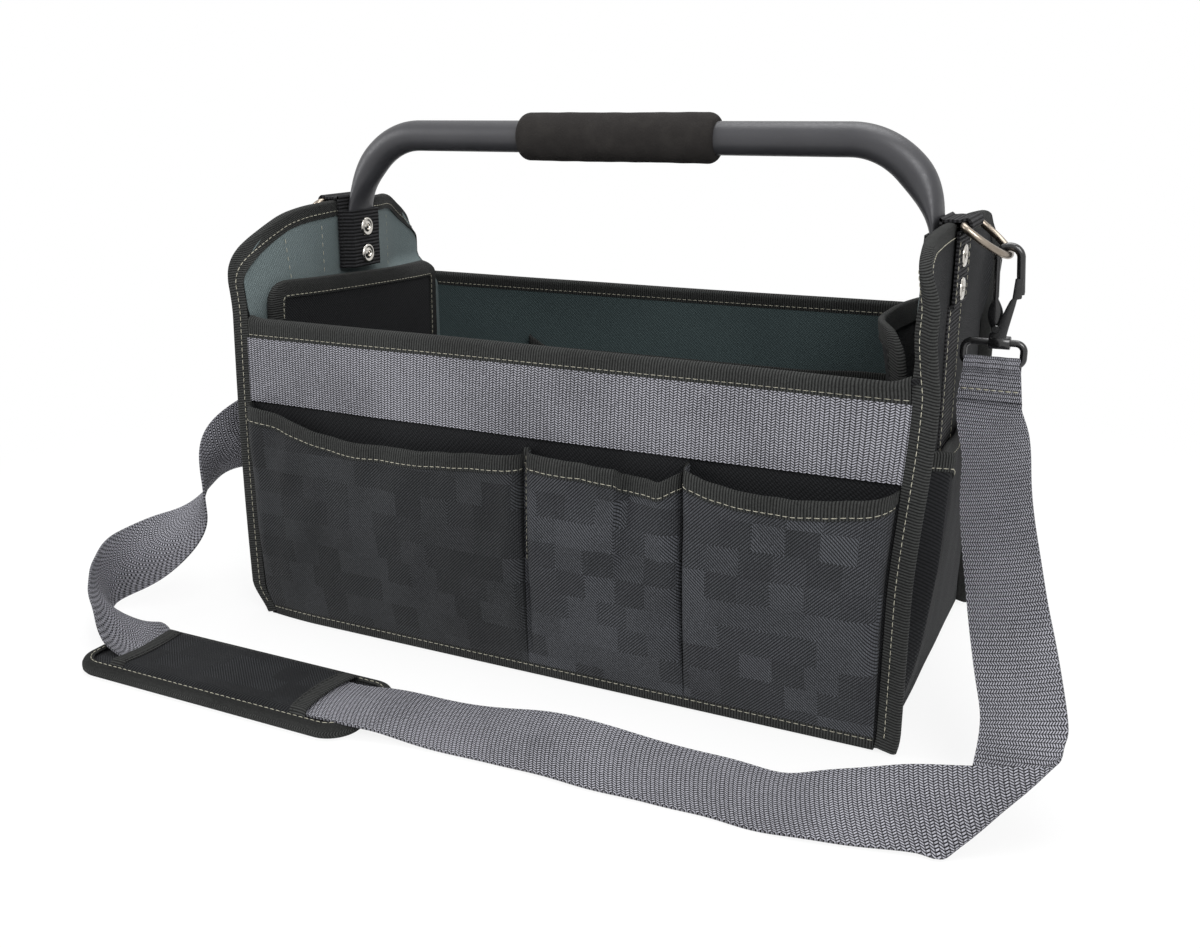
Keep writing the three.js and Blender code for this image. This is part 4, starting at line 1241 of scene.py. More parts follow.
    def route(self, side: str) -> tuple[Array, Array]:
        """Both edges of one side's whole strap, from the tail to the middle of the pad.

        Args:
            side: right or left.

        Returns:
            Points of the two edges.
        """
        if side == "left":
            return self.eased(*self.edges(self.left_fall(), 12), 6)
        runs = [self.edges(self.right_fall(), 12), self.fold(25), self.edges(self.right_floor(), 10)]
        joined = [np.vstack([run[k] for run in runs]) for k in range(2)]
        return self.eased(joined[0], joined[1], 14)

    def blend_span(self, points: Array, first: int, last: int) -> tuple[tuple, tuple]:
        """Ends of a blend between two rows of the strap, set so that each whole row moves with one body.

        Args:
            points: The strap's grid.
            first: Row where the blend may start.
            last: Row where it has to be over.

        Returns:
            The start and the end in metres.
        """
        a, b = points[first].mean(axis=0), points[last].mean(axis=0)
        way = unit(b - a)
        low = float(((points[first] - a) @ way).max())
        high = float(((points[last] - a) @ way).min())
        return tuple(float(c) for c in (a + way * low) * MM), tuple(float(c) for c in (a + way * high) * MM)

    def build_side(self, side: str) -> None:
        """Builds one side's strap in three lengths: one by the loop, one by the hook and one from the ring to
        the pad.

        Args:
            side: right or left.
        """
        points, uv = self.ribbon(*self.route(side), 5 if side == "right" else 6)
        centre = points[:, points.shape[1] // 2]
        run = lengths(centre)
        first, second, far = (int(np.searchsorted(run, cut)) for cut in self.cuts)
        plan = (("loop", f"{side}_loop", f"{side}_snap_hook", 0, first),
                ("hook", f"{side}_snap_hook", f"{side}_ring", first, second),
                ("ring", f"{side}_ring", "bag", second, far))
        parts = {}
        for name, near_body, far_body, start, stop in plan:
            rows = slice(start, None if name == "ring" else stop + 1)
            parts[name] = dress(f"{side}_strap_{name}_length", grid(points[rows], uv[rows]), WEBBING, "",
                                (f"{side}_strap",) if name == "ring" else (), self.thickness, 0.0)
            begin, end = self.blend_span(points, start, stop)
            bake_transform(parts[name])
        line = centre[second:] * MM
        keep = np.unique(np.linspace(0, len(line) - 1, 60).astype(int))
        tuple(float(c) for c in line[0])
        float(lengths(line)[-1])
        [tuple(float(c) for c in p) for p in line[keep]]
        self.build_tail(side)

    def build_tail(self, side: str) -> None:
        """Builds the sewn end: webbing doubled round the loop's lower bar, with its seam.

        Args:
            side: right or left.
        """
        bend = 2.2 + 1.1 + self.thickness / 2.0
        face = self.thickness / 2.0 + 0.2
        fall = np.linspace(self.tail, 5.0, 12)
        turn = np.linspace(-0.6, math.pi + 0.6, 22)
        y = np.concatenate([np.full(12, -face), -bend * np.cos(turn), np.full(12, face)])[:, None]
        z = self.loop_low + np.concatenate([-fall, bend * np.sin(turn), -fall[::-1]])[:, None]
        share = np.linspace(-1.0, 1.0, 13)
        gather = 0.45 * np.sin(share * 9.0) * smooth((z - self.loop_low + 20.0) / 20.0)
        points = stacked(self.loop_x + self.tail_half(z) * share, y + gather, z)
        webbing = grid(points, stacked(lengths(points, 0), share * self.half)).facing((0, 0, 1))
        dress(f"{side}_strap_tail_webbing", on_side(webbing, side), WEBBING, f"{side}_loop",
              (f"{side}_strap_tail",), self.thickness, 0.0)
        x = np.linspace(-17.6, 17.6, 20) + self.loop_x
        level = self.loop_low - self.tail + 7.0
        off = face + self.thickness / 2.0 + 0.5
        rows = [stitch_row(stacked(x, way * off, level), way * Y_AXIS, 4.4, 3.6, 0.45) for way in (-1.0, 1.0)]
        dress(f"{side}_strap_tail_seam", on_side(joined(rows), side), THREAD, f"{side}_loop")

    def build(self) -> None:
        """Builds both sides of the strap and the pad."""
        for side in SIDES:
            self.build_side(side)
        ShoulderPad().build()


@dataclass
class ShoulderPad:
    """The pad: a soft oblong with bound edge, and a cloth sleeve over the strap."""

    centre: tuple[float, float] = (-173.0, -227.0)
    half_length: float = 111.0
    half_width: float = 34.0
    corner: float = 19.0
    thick: float = 7.5
    sleeve_half: float = 82.0

    def rim(self, grow: float, steps: int = 96) -> Array:
        """The pad's outline: an oblong with round corners.

        Args:
            grow: How far the outline is moved out.
            steps: A third of the points round it.

        Returns:
            (points, 2), evenly spaced.
        """
        x, y, r = self.half_length + grow, self.half_width + grow, self.corner + grow
        corners = ((x - r, y - r), (-x + r, y - r), (-x + r, -y + r), (x - r, -y + r))
        turn = math.pi / 2.0
        arcs = [arc(k * turn, (k + 1) * turn, r, r, steps // 4) + at for k, at in enumerate(corners)]
        ring = np.vstack(arcs + [arcs[0][:1]])
        run = lengths(ring)
        return sampled(np.linspace(0.0, run[-1], 3 * steps, endpoint=False), run, ring)

    def lay(self, shell: Shell) -> Shell:
        """Puts a pad piece at its place on the floor."""
        return shell.moved(lambda p: p + np.array([self.centre[0], self.centre[1], 0.0]))

    def build(self) -> None:
        """Builds the cushion, the sleeve, the binding and the stitching."""
        rim = self.rim(0.0)
        share = np.linspace(0.0, 1.0, 22)
        plan = rim[None] * share[:, None, None]
        crown = self.thick - 1.4 * share ** 4
        edge = 1.0 - 0.32 * smooth((share - 0.9) / 0.1)
        under = 1.6 * smooth((share - 0.93) / 0.07)
        x, y = plan[..., 0], plan[..., 1]
        points = np.vstack([stacked(x, y, (crown * edge)[:, None]), stacked(x, y, under[:, None])[::-1]])
        flat = np.concatenate([points, points[:, :1]], axis=1)[..., :2]
        shell = self.lay(grid(points, flat, False, True).outward())
        cushion = dress("shoulder_pad_cushion", shell, PAD_CLOTH, "bag", ("shoulder_pad",))
        self.build_sleeve()
        self.build_binding()

    def sleeve_height(self, x: Array, y: Array) -> Array:
        """Height of the sleeve: over the strap in the middle, down to the pad beside it.

        Args:
            x: Distance along the pad from its middle.
            y: Distance across the pad from its middle.

        Returns:
            Heights above the floor.
        """
        beside = smooth((29.5 - np.abs(y)) / 4.0)
        ends = 0.5 * smooth((np.abs(x) - self.sleeve_half + 12.0) / 12.0)
        return self.thick + 0.2 + (3.8 + ends) * beside + 0.35 * ripple(x, y, 21, 40.0) * beside

    def mouth(self, y: Array) -> Array:
        """Returns how far from the middle the sleeve's bowed mouths are at y."""
        return self.sleeve_half - 5.0 * (1.0 - (y / self.half_width) ** 2)

    def build_sleeve(self) -> None:
        """Builds the sleeve cloth, with bound mouths."""
        y = np.linspace(-29.5, 29.5, 40)
        x = np.linspace(-1.0, 1.0, 70)[:, None] * self.mouth(y)
        points = stacked(x, y, self.sleeve_height(x, y))
        cloth = grid(points, points[..., :2]).facing((0, 0, 1))
        dress("pad_sleeve_cloth", self.lay(cloth), PAD_CLOTH, "bag", ("pad_sleeve",), 1.0)
        inset = np.array([11.0, 8.0, 4.0, 1.0, -0.6, -0.9])
        lift = np.array([0.7, 0.9, 0.9, 0.8, 0.2, -0.8])
        y = np.linspace(-29.0, 29.0, 40)
        tapes = []
        rows = []
        for way in (-1.0, 1.0):
            x = way * (self.mouth(y)[:, None] - inset)
            z = self.sleeve_height(x, y[:, None]) + lift
            tapes.append(grid(stacked(x, y[:, None], z)).facing((0, 0, 1)))
            x = way * (self.mouth(y) - 9.0)
            rows.append(stitch_row(stacked(x, y, self.sleeve_height(x, y) + 0.95), Z_AXIS))
        dress("pad_sleeve_mouths", self.lay(joined(tapes)), TAPE, "bag", (), 0.5)
        dress("pad_sleeve_seams", self.lay(joined(rows)), DARK_THREAD, "bag")

    def build_binding(self) -> None:
        """Builds the tape folded round the pad's edge and its stitching."""
        rim = self.rim(0.0)
        path = stacked(rim[:, 0], rim[:, 1], self.thick / 2.0 - 0.1)
        fold = np.array([[-6.4, 4.3], [-4.2, 4.7], [-1.8, 4.5], [0.3, 3.6], [1.4, 1.8], [1.6, 0.0],
                         [1.4, -1.8], [0.3, -3.2], [-2.0, -3.55], [-6.0, -3.6]])
        tape = sweep(path, Z_AXIS, fold, False, True)
        dress("pad_edge_tape", self.lay(tape.facing((0, 0, 1))), TAPE, "bag", ("pad_binding",), 0.8)
        inner = self.rim(-4.6)
        seam = stitch_row(stacked(inner[:, 0], inner[:, 1], self.thick + 0.95), Z_AXIS)
        dress("pad_edge_seam", self.lay(seam), THREAD, "bag")


# Sewn body

@dataclass
class SewnBody:
    """Walls, linings, bands and binding tapes, drawn for the front wall and the right end."""

    wall_half: float = 236.0
    lining_half: float = 225.5
    lining_y: float = -120.6
    lining_x: float = 224.6
    end_foot: float = 2.5
    tape_half: float = 224.5
    band_half: float = 225.6
    band_y: float = -128.9
    corner_x: float = 236.2
    corner_y: float = 125.2

    def wall_sheets(self) -> None:
        """Builds the front and back walls and their linings."""
        x = np.linspace(-self.wall_half, self.wall_half, 150)[:, None]
        z = np.linspace(2.2, BAG.wall, 80)
        crease = 0.5 * ripple(x, z, 31, 70.0)
        outer = grid(stacked(x, -BAG.front + crease, z), stacked(x, z)).facing((0, -1, 0))
        x = np.linspace(-self.lining_half, self.lining_half, 150)[:, None]
        z = np.linspace(3.0, 224.5, 80)
        slack = 0.8 * ripple(x, z, 33, 120.0) * np.sin(math.pi * np.clip(z / BAG.wall, 0, 1)) - 0.4
        inner = grid(stacked(x, self.lining_y + slack, z), stacked(x, z)).facing((0, 1, 0))
        for wall in WALLS:
            sew(f"{wall}_wall", on_wall(outer, wall), TWILL, (f"{wall}_panel",), 3.0)
            # The wall linings take the lining cloth with painted shade.
            sew(f"{wall}_wall_lining", on_wall(inner, wall), LINING_PAINTED_SHADE, (f"{wall}_lining",), 0.8)

    def end_sheets(self) -> None:
        """Builds both arched ends, outside and lining."""
        for side in SIDES:
            y = BAG.arch_half * np.sin(np.linspace(-math.pi / 2.0, math.pi / 2.0, 90))[:, None]
            top = np.maximum(BAG.arch_top(side, y), BAG.outline(side)[0, 1]) - 0.3
            z = self.end_foot + (top - self.end_foot) * np.linspace(0.0, 1.0, 100)
            above = smooth((z - 216.0) / 20.0) * (1.0 - smooth((z - 256.0) / 34.0))
            most, spread = (6.5, 0.0) if side == "right" else (0.0, 0.03)
            curl = most * above * np.clip((np.abs(y) - 100.0) / 23.0, 0.0, 1.0) ** 2
            y = y * (1.0 + spread * above * smooth((np.abs(y) - 117.0) / 5.0))
            x = BAG.end + 0.5 * ripple(y, z, 41, 60.0) + curl
            outer = grid(stacked(x, y, z), stacked(y, z)).facing((1, 0, 0))
            x = self.lining_x + 0.6 * ripple(y, z, 43, 90.0) * smooth((np.abs(y) - 22.0) / 20.0) + curl
            y = y * np.where(z > 226.0, 1.0, 0.985)
            inner = grid(stacked(x, y, z), stacked(y, z)).facing((-1, 0, 0))
            sew(f"{side}_end_outside", on_side(outer, side), TWILL, (f"{side}_end_panel",), 3.0)
            sew(f"{side}_end_inside", on_side(inner, side), LINING, (f"{side}_end_lining",), 0.8)

    def long_tapes(self) -> None:
        """Builds the folded tapes on the top and bottom edges of the long walls, and the webbing bands."""
        x = np.linspace(-self.tape_half, self.tape_half, 180)
        over = arc(math.pi, 0.0, 4.2, 4.2, 12)
        fold = np.vstack([[[-4.0, -7.0], [-4.2, -3.0]], over, [[4.2, -6.0], [4.15, -11.5]]])
        top = sweep(stacked(x, -124.6, 222.3), Z_AXIS, fold, False).facing((0, 0, 1))
        fold = np.array([[1.5, 8.0], [1.6, 4.0], [1.6, 1.0], [1.2, -0.9], [-0.4, -1.5], [-3.0, -1.6]])
        low = sweep(stacked(x, -BAG.front, 2.0), Z_AXIS, fold, False).facing((0, -1, -0.3))
        bx = np.linspace(-self.band_half, self.band_half, 200)[:, None]
        bz = np.linspace(165.5, 210.9, 24)
        flat = self.band_y + 0.35 * ripple(bx, bz, 51, 80.0)
        band = grid(stacked(bx, flat, bz), stacked(bx, bz)).facing((0, -1, 0))
        rows = joined([stitch_row(stacked(x, -129.0, 213.4), -Y_AXIS),
                       stitch_row(stacked(x, -120.3, 217.6), Y_AXIS),
                       stitch_row(stacked(x, -128.7, 7.6), -Y_AXIS)])
        for wall in WALLS:
            sew(f"{wall}_rim_tape", on_wall(top, wall), TAPE, (f"{wall}_top_binding",), 0.9)
            sew(f"{wall}_foot_tape", on_wall(low, wall), TAPE, (f"{wall}_bottom_binding",), 0.9)
            sew(f"{wall}_webbing_band", on_wall(band, wall), WEBBING, (f"{wall}_band",), 1.4)
            sew(f"{wall}_long_seams", on_wall(rows, wall), THREAD)

    def end_tapes(self) -> None:
        """Builds each end's tape, folded round one edge up a corner, over the arch and down the other corner.

        On the corners the fold looks out along the bag, on the arch it looks out of the outline, and between
        the two it turns by a quarter. Both legs then lie flat on what they hold.
        """
        for side in SIDES:
            line, out = BAG.arch_line(side, 1.4, 0.2)
            y, level = line.T
            rise = smooth((level - 214.0) / 22.0)
            late = smooth((level - 258.0) / 32.0) if side == "right" else smooth((level - 246.0) / 42.0)
            twist = 0.45 * rise + 0.55 * late if side == "right" else late
            low = np.clip(1.0 - level / 14.0, 0.0, 1.0) ** 2
            path = stacked(self.corner_x - 9.1 * late - 2.0 * low,
                           np.sign(y) * (self.corner_y + (np.abs(y) - self.corner_y) * twist), level)
            up = unit(np.column_stack([1.0 - twist, out * twist[:, None]]))
            turn = np.linspace(math.pi, 0.0, 10)
            curl = stacked(3.45 * np.cos(turn), (3.3 - 1.5 * twist)[:, None] * np.sin(turn))
            short = 1.2 * (rise if side == "right" else late)
            reaches = ((-3.3, 9.8 + 1.3 * smooth((level - 140.0) / 40.0) - short), (-3.45, 5.4 + 0.8 * late),
                       (-3.45, 2.4), (3.45, 3.0 + 1.0 * twist), (3.45, 4.4 + 3.0 * twist),
                       (3.3, 5.6 + 3.6 * twist))
            legs = np.stack([stacked(np.full(len(line), off), -reach) for off, reach in reaches], axis=1)
            tape = sweep(path, up, np.concatenate([legs[:, :3], curl, legs[:, 3:]], axis=1), False)
            ring = tape.verts.reshape(len(line), -1, 3)
            inner, outer = ring[:, 1], ring[:, -2]
            across = unit(outer - inner)
            arch = twist > 0.9
            rows = (stitch_row(inner[2:-2] - 0.1 * across[2:-2], -across[2:-2])
                    + stitch_row(outer[arch] + 0.1 * across[arch], across[arch]))
            tape = tape.facing((0, 0, 1))
            sew(f"{side}_end_tape", on_side(tape, side), TAPE, (f"{side}_end_binding",), 0.9)
            sew(f"{side}_end_seams", on_side(rows, side), THREAD)
            self.lining_seams(side)

    def lining_seams(self, side: str) -> None:
        """Builds the upright dashed seams on one end's lining and the sewn strip outside.

        Args:
            side: right or left.
        """
        rows = []
        for y in (-78.0, -40.0, 57.0):
            z = np.linspace(226.0, float(BAG.arch_top(side, np.array(y))) - 13.0, 20)
            rows.append(stitch_row(stacked(223.4, y, z), -X_AXIS, 6.0, 3.4, 0.22))
        z = np.linspace(150.0, 246.0, 40)
        rows += [stitch_row(stacked(231.1, y, z), X_AXIS) for y in (-19.0, 19.0)]
        sew(f"{side}_lining_seams", on_side(joined(rows), side), THREAD)
        z = np.linspace(120.0, 248.0, 60)[:, None]
        y = np.linspace(-23.0, 23.0, 16)
        strip = grid(stacked(230.8, y, z), stacked(z, y)).facing((1, 0, 0))
        sew(f"{side}_end_strip", on_side(strip, side), STRAPPING, (), 1.2)

    def build(self) -> None:
        """Builds the whole sewn body."""
        self.wall_sheets()
        self.end_sheets()
        self.long_tapes()
        self.end_tapes()
        recoat("base_panel", TWILL)
        recoat("base_board", BOARD)


@dataclass
class PatchPocket:
    """One patch pocket on a wall that faces -Y, with a taped hem along its mouth."""

    name: str
    x0: float
    x1: float
    depth: float
    top: Callable[[Array], Array]
    finish: Cloth
    seed: int
    wall_y: float = 127.0
    foot: float = 9.5
    pleat: float | None = None
    slack: float = 1.0
    gusset: tuple[float, float] = (6.0, 6.0)
    margin: float = 0.0
    swell: float = 0.0

    def spot(self, u: Array, v: Array) -> tuple[Array, Array]:
        """Returns x and z at shares along the wall and of the height."""
        return self.x0 + (self.x1 - self.x0) * u, self.foot + (self.top(u) - self.foot) * v

    def out(self, u: Array, v: Array) -> Array:
        """How far the cloth stands off the wall.

        It rises from the foot as 1 - (1 - v)^2.6, turns back to the wall in a quarter round along each
        gusset, and carries soft wrinkles and, on one pocket, a pleat that steps back beside its fold.

        Args:
            u: Share along the wall.
            v: Share of the height.

        Returns:
            Distances in mm.
        """
        x, z = self.spot(u, v)
        rise = 1.0 - (1.0 - np.clip(v, 0.0, 1.0)) ** 2.6
        left = np.clip((x - self.x0 - self.margin) / self.gusset[0], 0.0, 1.0)
        right = np.clip((self.x1 - x) / self.gusset[1], 0.0, 1.0)
        sides = np.sqrt((2.0 * left - left ** 2) * (2.0 * right - right ** 2))
        loose = 1.5 * ripple(x, z, self.seed, 46.0) + 1.0 * ripple(x, 0.25 * z, self.seed + 1, 22.0) * v ** 2
        stand = 1.9 + self.depth * rise * sides + self.slack * loose * sides * np.sqrt(rise)
        stand = stand + self.swell * rise * smooth(u / 0.05) * (1.0 - smooth((u - 0.1) / 0.28))
        if self.pleat is not None:
            fade = smooth((v - 0.45) / 0.5)
            step = smooth((x - self.pleat + 1.5) / 3.0) - smooth((x - self.pleat - 5.0) / 26.0)
            stand = stand - 6.5 * step * fade
        return np.maximum(stand, 1.6)

    def stations(self, count: int) -> Array:
        """Shares along the wall, closer together towards both side seams."""
        t = np.linspace(0.0, 1.0, count)[:, None]
        return t - 0.8 * np.sin(2.0 * math.pi * t) / (2.0 * math.pi)

    def cloth(self) -> Shell:
        """The pocket's sheet.

        Returns:
            The open sheet, facing out.
        """
        u = self.stations(130)
        v = np.linspace(0.0, 1.0, 70)
        x, z = self.spot(u, v)
        return grid(stacked(x, -self.wall_y - self.out(u, v), z), stacked(x, z)).facing((0, -1, 0))

    def hem(self) -> tuple[Shell, Shell]:
        """The tape folded over the mouth.

        Returns:
            The tape, and the seam near its lower edge.
        """
        u = self.stations(160)
        drop = np.array([10.5, 8.0, 4.0, 1.0, -0.7, -1.2, -0.7, 1.0, 7.0])
        lift = np.array([0.75, 0.95, 1.0, 1.0, 0.5, -0.7, -1.9, -2.4, -2.5])
        top = self.top(u)
        v = 1.0 - np.clip(drop, 0.0, None) / (top - self.foot)
        x, _ = self.spot(u, v)
        points = stacked(x, -self.wall_y - self.out(u, v) - lift, top - drop)
        seam = stitch_row(points[:, 1] + np.array([0.0, -0.05, -0.6]), -Y_AXIS)
        return grid(points).facing((0, -1, 0)), seam

    def build(self, place: Callable[[Shell], Shell], prefix: str, node: str) -> None:
        """Builds the pocket at its place on the bag.

        Args:
            place: Turns the surface from the front wall to its own wall.
            prefix: First word of the pieces' names.
            node: The node that the pocket stands for.
        """
        tape, seam = self.hem()
        name = f"{prefix}_{self.name}"
        sew(f"{name}_cloth", place(self.cloth()), self.finish, (node,), 1.2)
        sew(f"{name}_hem", place(tape), TAPE, (), 0.7)
        sew(f"{name}_hem_seam", place(seam), THREAD)


@dataclass
class InnerPocket:
    """The flat black pocket inside an end, bound round its free edges."""

    side: str
    lean: float
    half: float = 108.0
    top: float = 242.0
    slope: float = -0.043
    foot: float = 30.0
    corner: float = 14.0

    def x_at(self, y: Array, z: Array) -> Array:
        """Distance from the bag's middle: the panel leans in towards its top.

        Args:
            y: Distance across the bag.
            z: Height.

        Returns:
            Distances in mm.
        """
        v = np.clip((z - self.foot) / (self.top - self.foot), 0.0, 1.0)
        held = 1.0 - 0.8 * np.abs(y / self.half) ** 3
        return 222.7 - self.lean * v ** 2 * held + 0.5 * ripple(y, z, 71, 80.0)

    def limit(self, y: Array) -> Array:
        """Height of the top edge at y, round at the corners."""
        past = np.clip(np.abs(y) - (self.half - self.corner), 0.0, self.corner)
        return self.top + self.slope * y - self.corner + np.sqrt(self.corner ** 2 - past ** 2)

    def build(self) -> None:
        """Builds the pocket at its end."""
        y = self.half * np.sin(np.linspace(-math.pi / 2.0, math.pi / 2.0, 90))[:, None]
        z = self.foot + (self.limit(y) - self.foot) * np.linspace(0.0, 1.0, 60)
        panel = grid(stacked(self.x_at(y, z) - 1.2, y, z), stacked(y, z)).facing((-1, 0, 0))
        start, low = self.corner - self.half, self.top - self.corner
        rise = np.linspace(self.foot, low, 30)[:-1]
        bend = arc(math.pi, math.pi / 2.0, self.corner, self.corner, 14) + [start, low]
        flat = np.linspace(start, 0.0, 30)[1:]
        line = doubled(np.vstack([stacked(-self.half, rise), bend, stacked(flat, self.top)]))
        line[:, 1] += self.slope * line[:, 0] * smooth((line[:, 1] - self.foot) / 60.0)
        path = np.column_stack([self.x_at(line[:, 0], line[:, 1]), line])
        along = unit(np.gradient(line, axis=0))
        over = arc(math.pi, 0.0, 2.3, 1.4, 8)
        fold = np.vstack([[[-2.2, -11.4], [-2.3, -9.6], [-2.3, -5.0]], over, [[2.3, -5.0], [2.2, -11.4]]])
        tape = sweep(path, stacked(0.0, -along[:, 1], along[:, 0]), fold, False)
        ring = tape.verts.reshape(len(line), -1, 3)
        ring[..., 0] += self.x_at(ring[..., 1], ring[..., 2]) - path[:, None, 0]
        seam = stitch_row(ring[:, 1] - 0.15 * X_AXIS, -X_AXIS)
        thread, lower = (DARK_THREAD, 0.0) if self.side == "right" else (THREAD, 14.0 * Z_AXIS)
        for name, shell, finish, nodes, thickness in (
                ("panel", panel, TWILL, (f"{self.side}_inner_pocket",), 2.0),
                ("tape", tape.facing((0, 0, 1)), TAPE, (), 0.7), ("seam", seam, thread, (), 0.0)):
            settled = on_side(shell, self.side).moved(lambda p: settle(p - lower) + lower)
            dress(f"{self.side}_inner_pocket_{name}", settled, finish, "bag", nodes, thickness)


@dataclass
class Pockets:
    """All the pockets of the bag."""

    def build(self) -> None:
        """Builds the front and back rows, the end pockets and the inner pockets."""
        row = [
            # The wide pocket wears the check cloth with painted shade, a darker copy for the light that it
            # catches less.
            PatchPocket("wide", -224.5, -4.2, 10.0,
                        lambda u: 163 - 15 * smooth(u / 0.42) + 6 * smooth((u - 0.6) / 0.4),
                        CHECK_PAINTED_SHADE, 101, gusset=(9.0, 11.0)),
            PatchPocket("middle", -3.8, 105.8, 12.0,
                        lambda u: (158 - 3 * smooth(u / 0.62) - 4 * smooth((u - 0.62) / 0.014)
                                   + 6 * smooth((u - 0.86) / 0.14)),
                        CHECK, 111, pleat=65.0, gusset=(9.0, 15.0), margin=4.0),
            PatchPocket("narrow", 106.2, 224.5, 14.0,
                        lambda u: 152.5 + np.where(u < 0.45, 13.0, 7.0) * np.abs((u - 0.45) / 0.5) ** 2.5,
                        CHECK, 121, gusset=(5.0, 9.0)),
        ]
        divider = stitch_row(stacked(-1.8, -129.7, np.linspace(84.0, 155.0, 40)), -Y_AXIS)
        for pocket in row:
            for wall in WALLS:
                pocket.build(lambda s: on_wall(s, wall), wall, f"{wall}_{pocket.name}_pocket")
        for wall in WALLS:
            sew(f"{wall}_divider_seam", on_wall(divider, wall), THREAD)
        end = PatchPocket("end_patch", -108.0, 108.0, 3.4,
                          lambda u: 159 + 20 * (1 - smooth(u / 0.3)) + 5 * smooth((u - 0.65) / 0.35),
                          TWILL, 131, wall_y=BAG.end, foot=13.5, gusset=(14.0, 14.0), swell=14.5, slack=0.5)
        quarter = np.array([[0.0, -1.0, 0.0], [1.0, 0.0, 0.0], [0.0, 0.0, 1.0]])
        for side in SIDES:
            end.build(lambda s: on_side(s.moved(lambda p: p @ quarter.T), side), side, f"{side}_end_pocket")
        InnerPocket("right", 27.0).build()
        InnerPocket("left", 11.0).build()
        inside = PatchPocket("patch", -133.0, 203.0, 6.0,
                             lambda u: 169.5 + 8 * (1 - smooth(u / 0.06)) + 3 * smooth((u - 0.7) / 0.15),
                             TWILL, 141, wall_y=-120.2, foot=12.0, slack=0.0)
        inside.build(lambda s: s, "inner_back", "inner_back_pocket")


# Handle

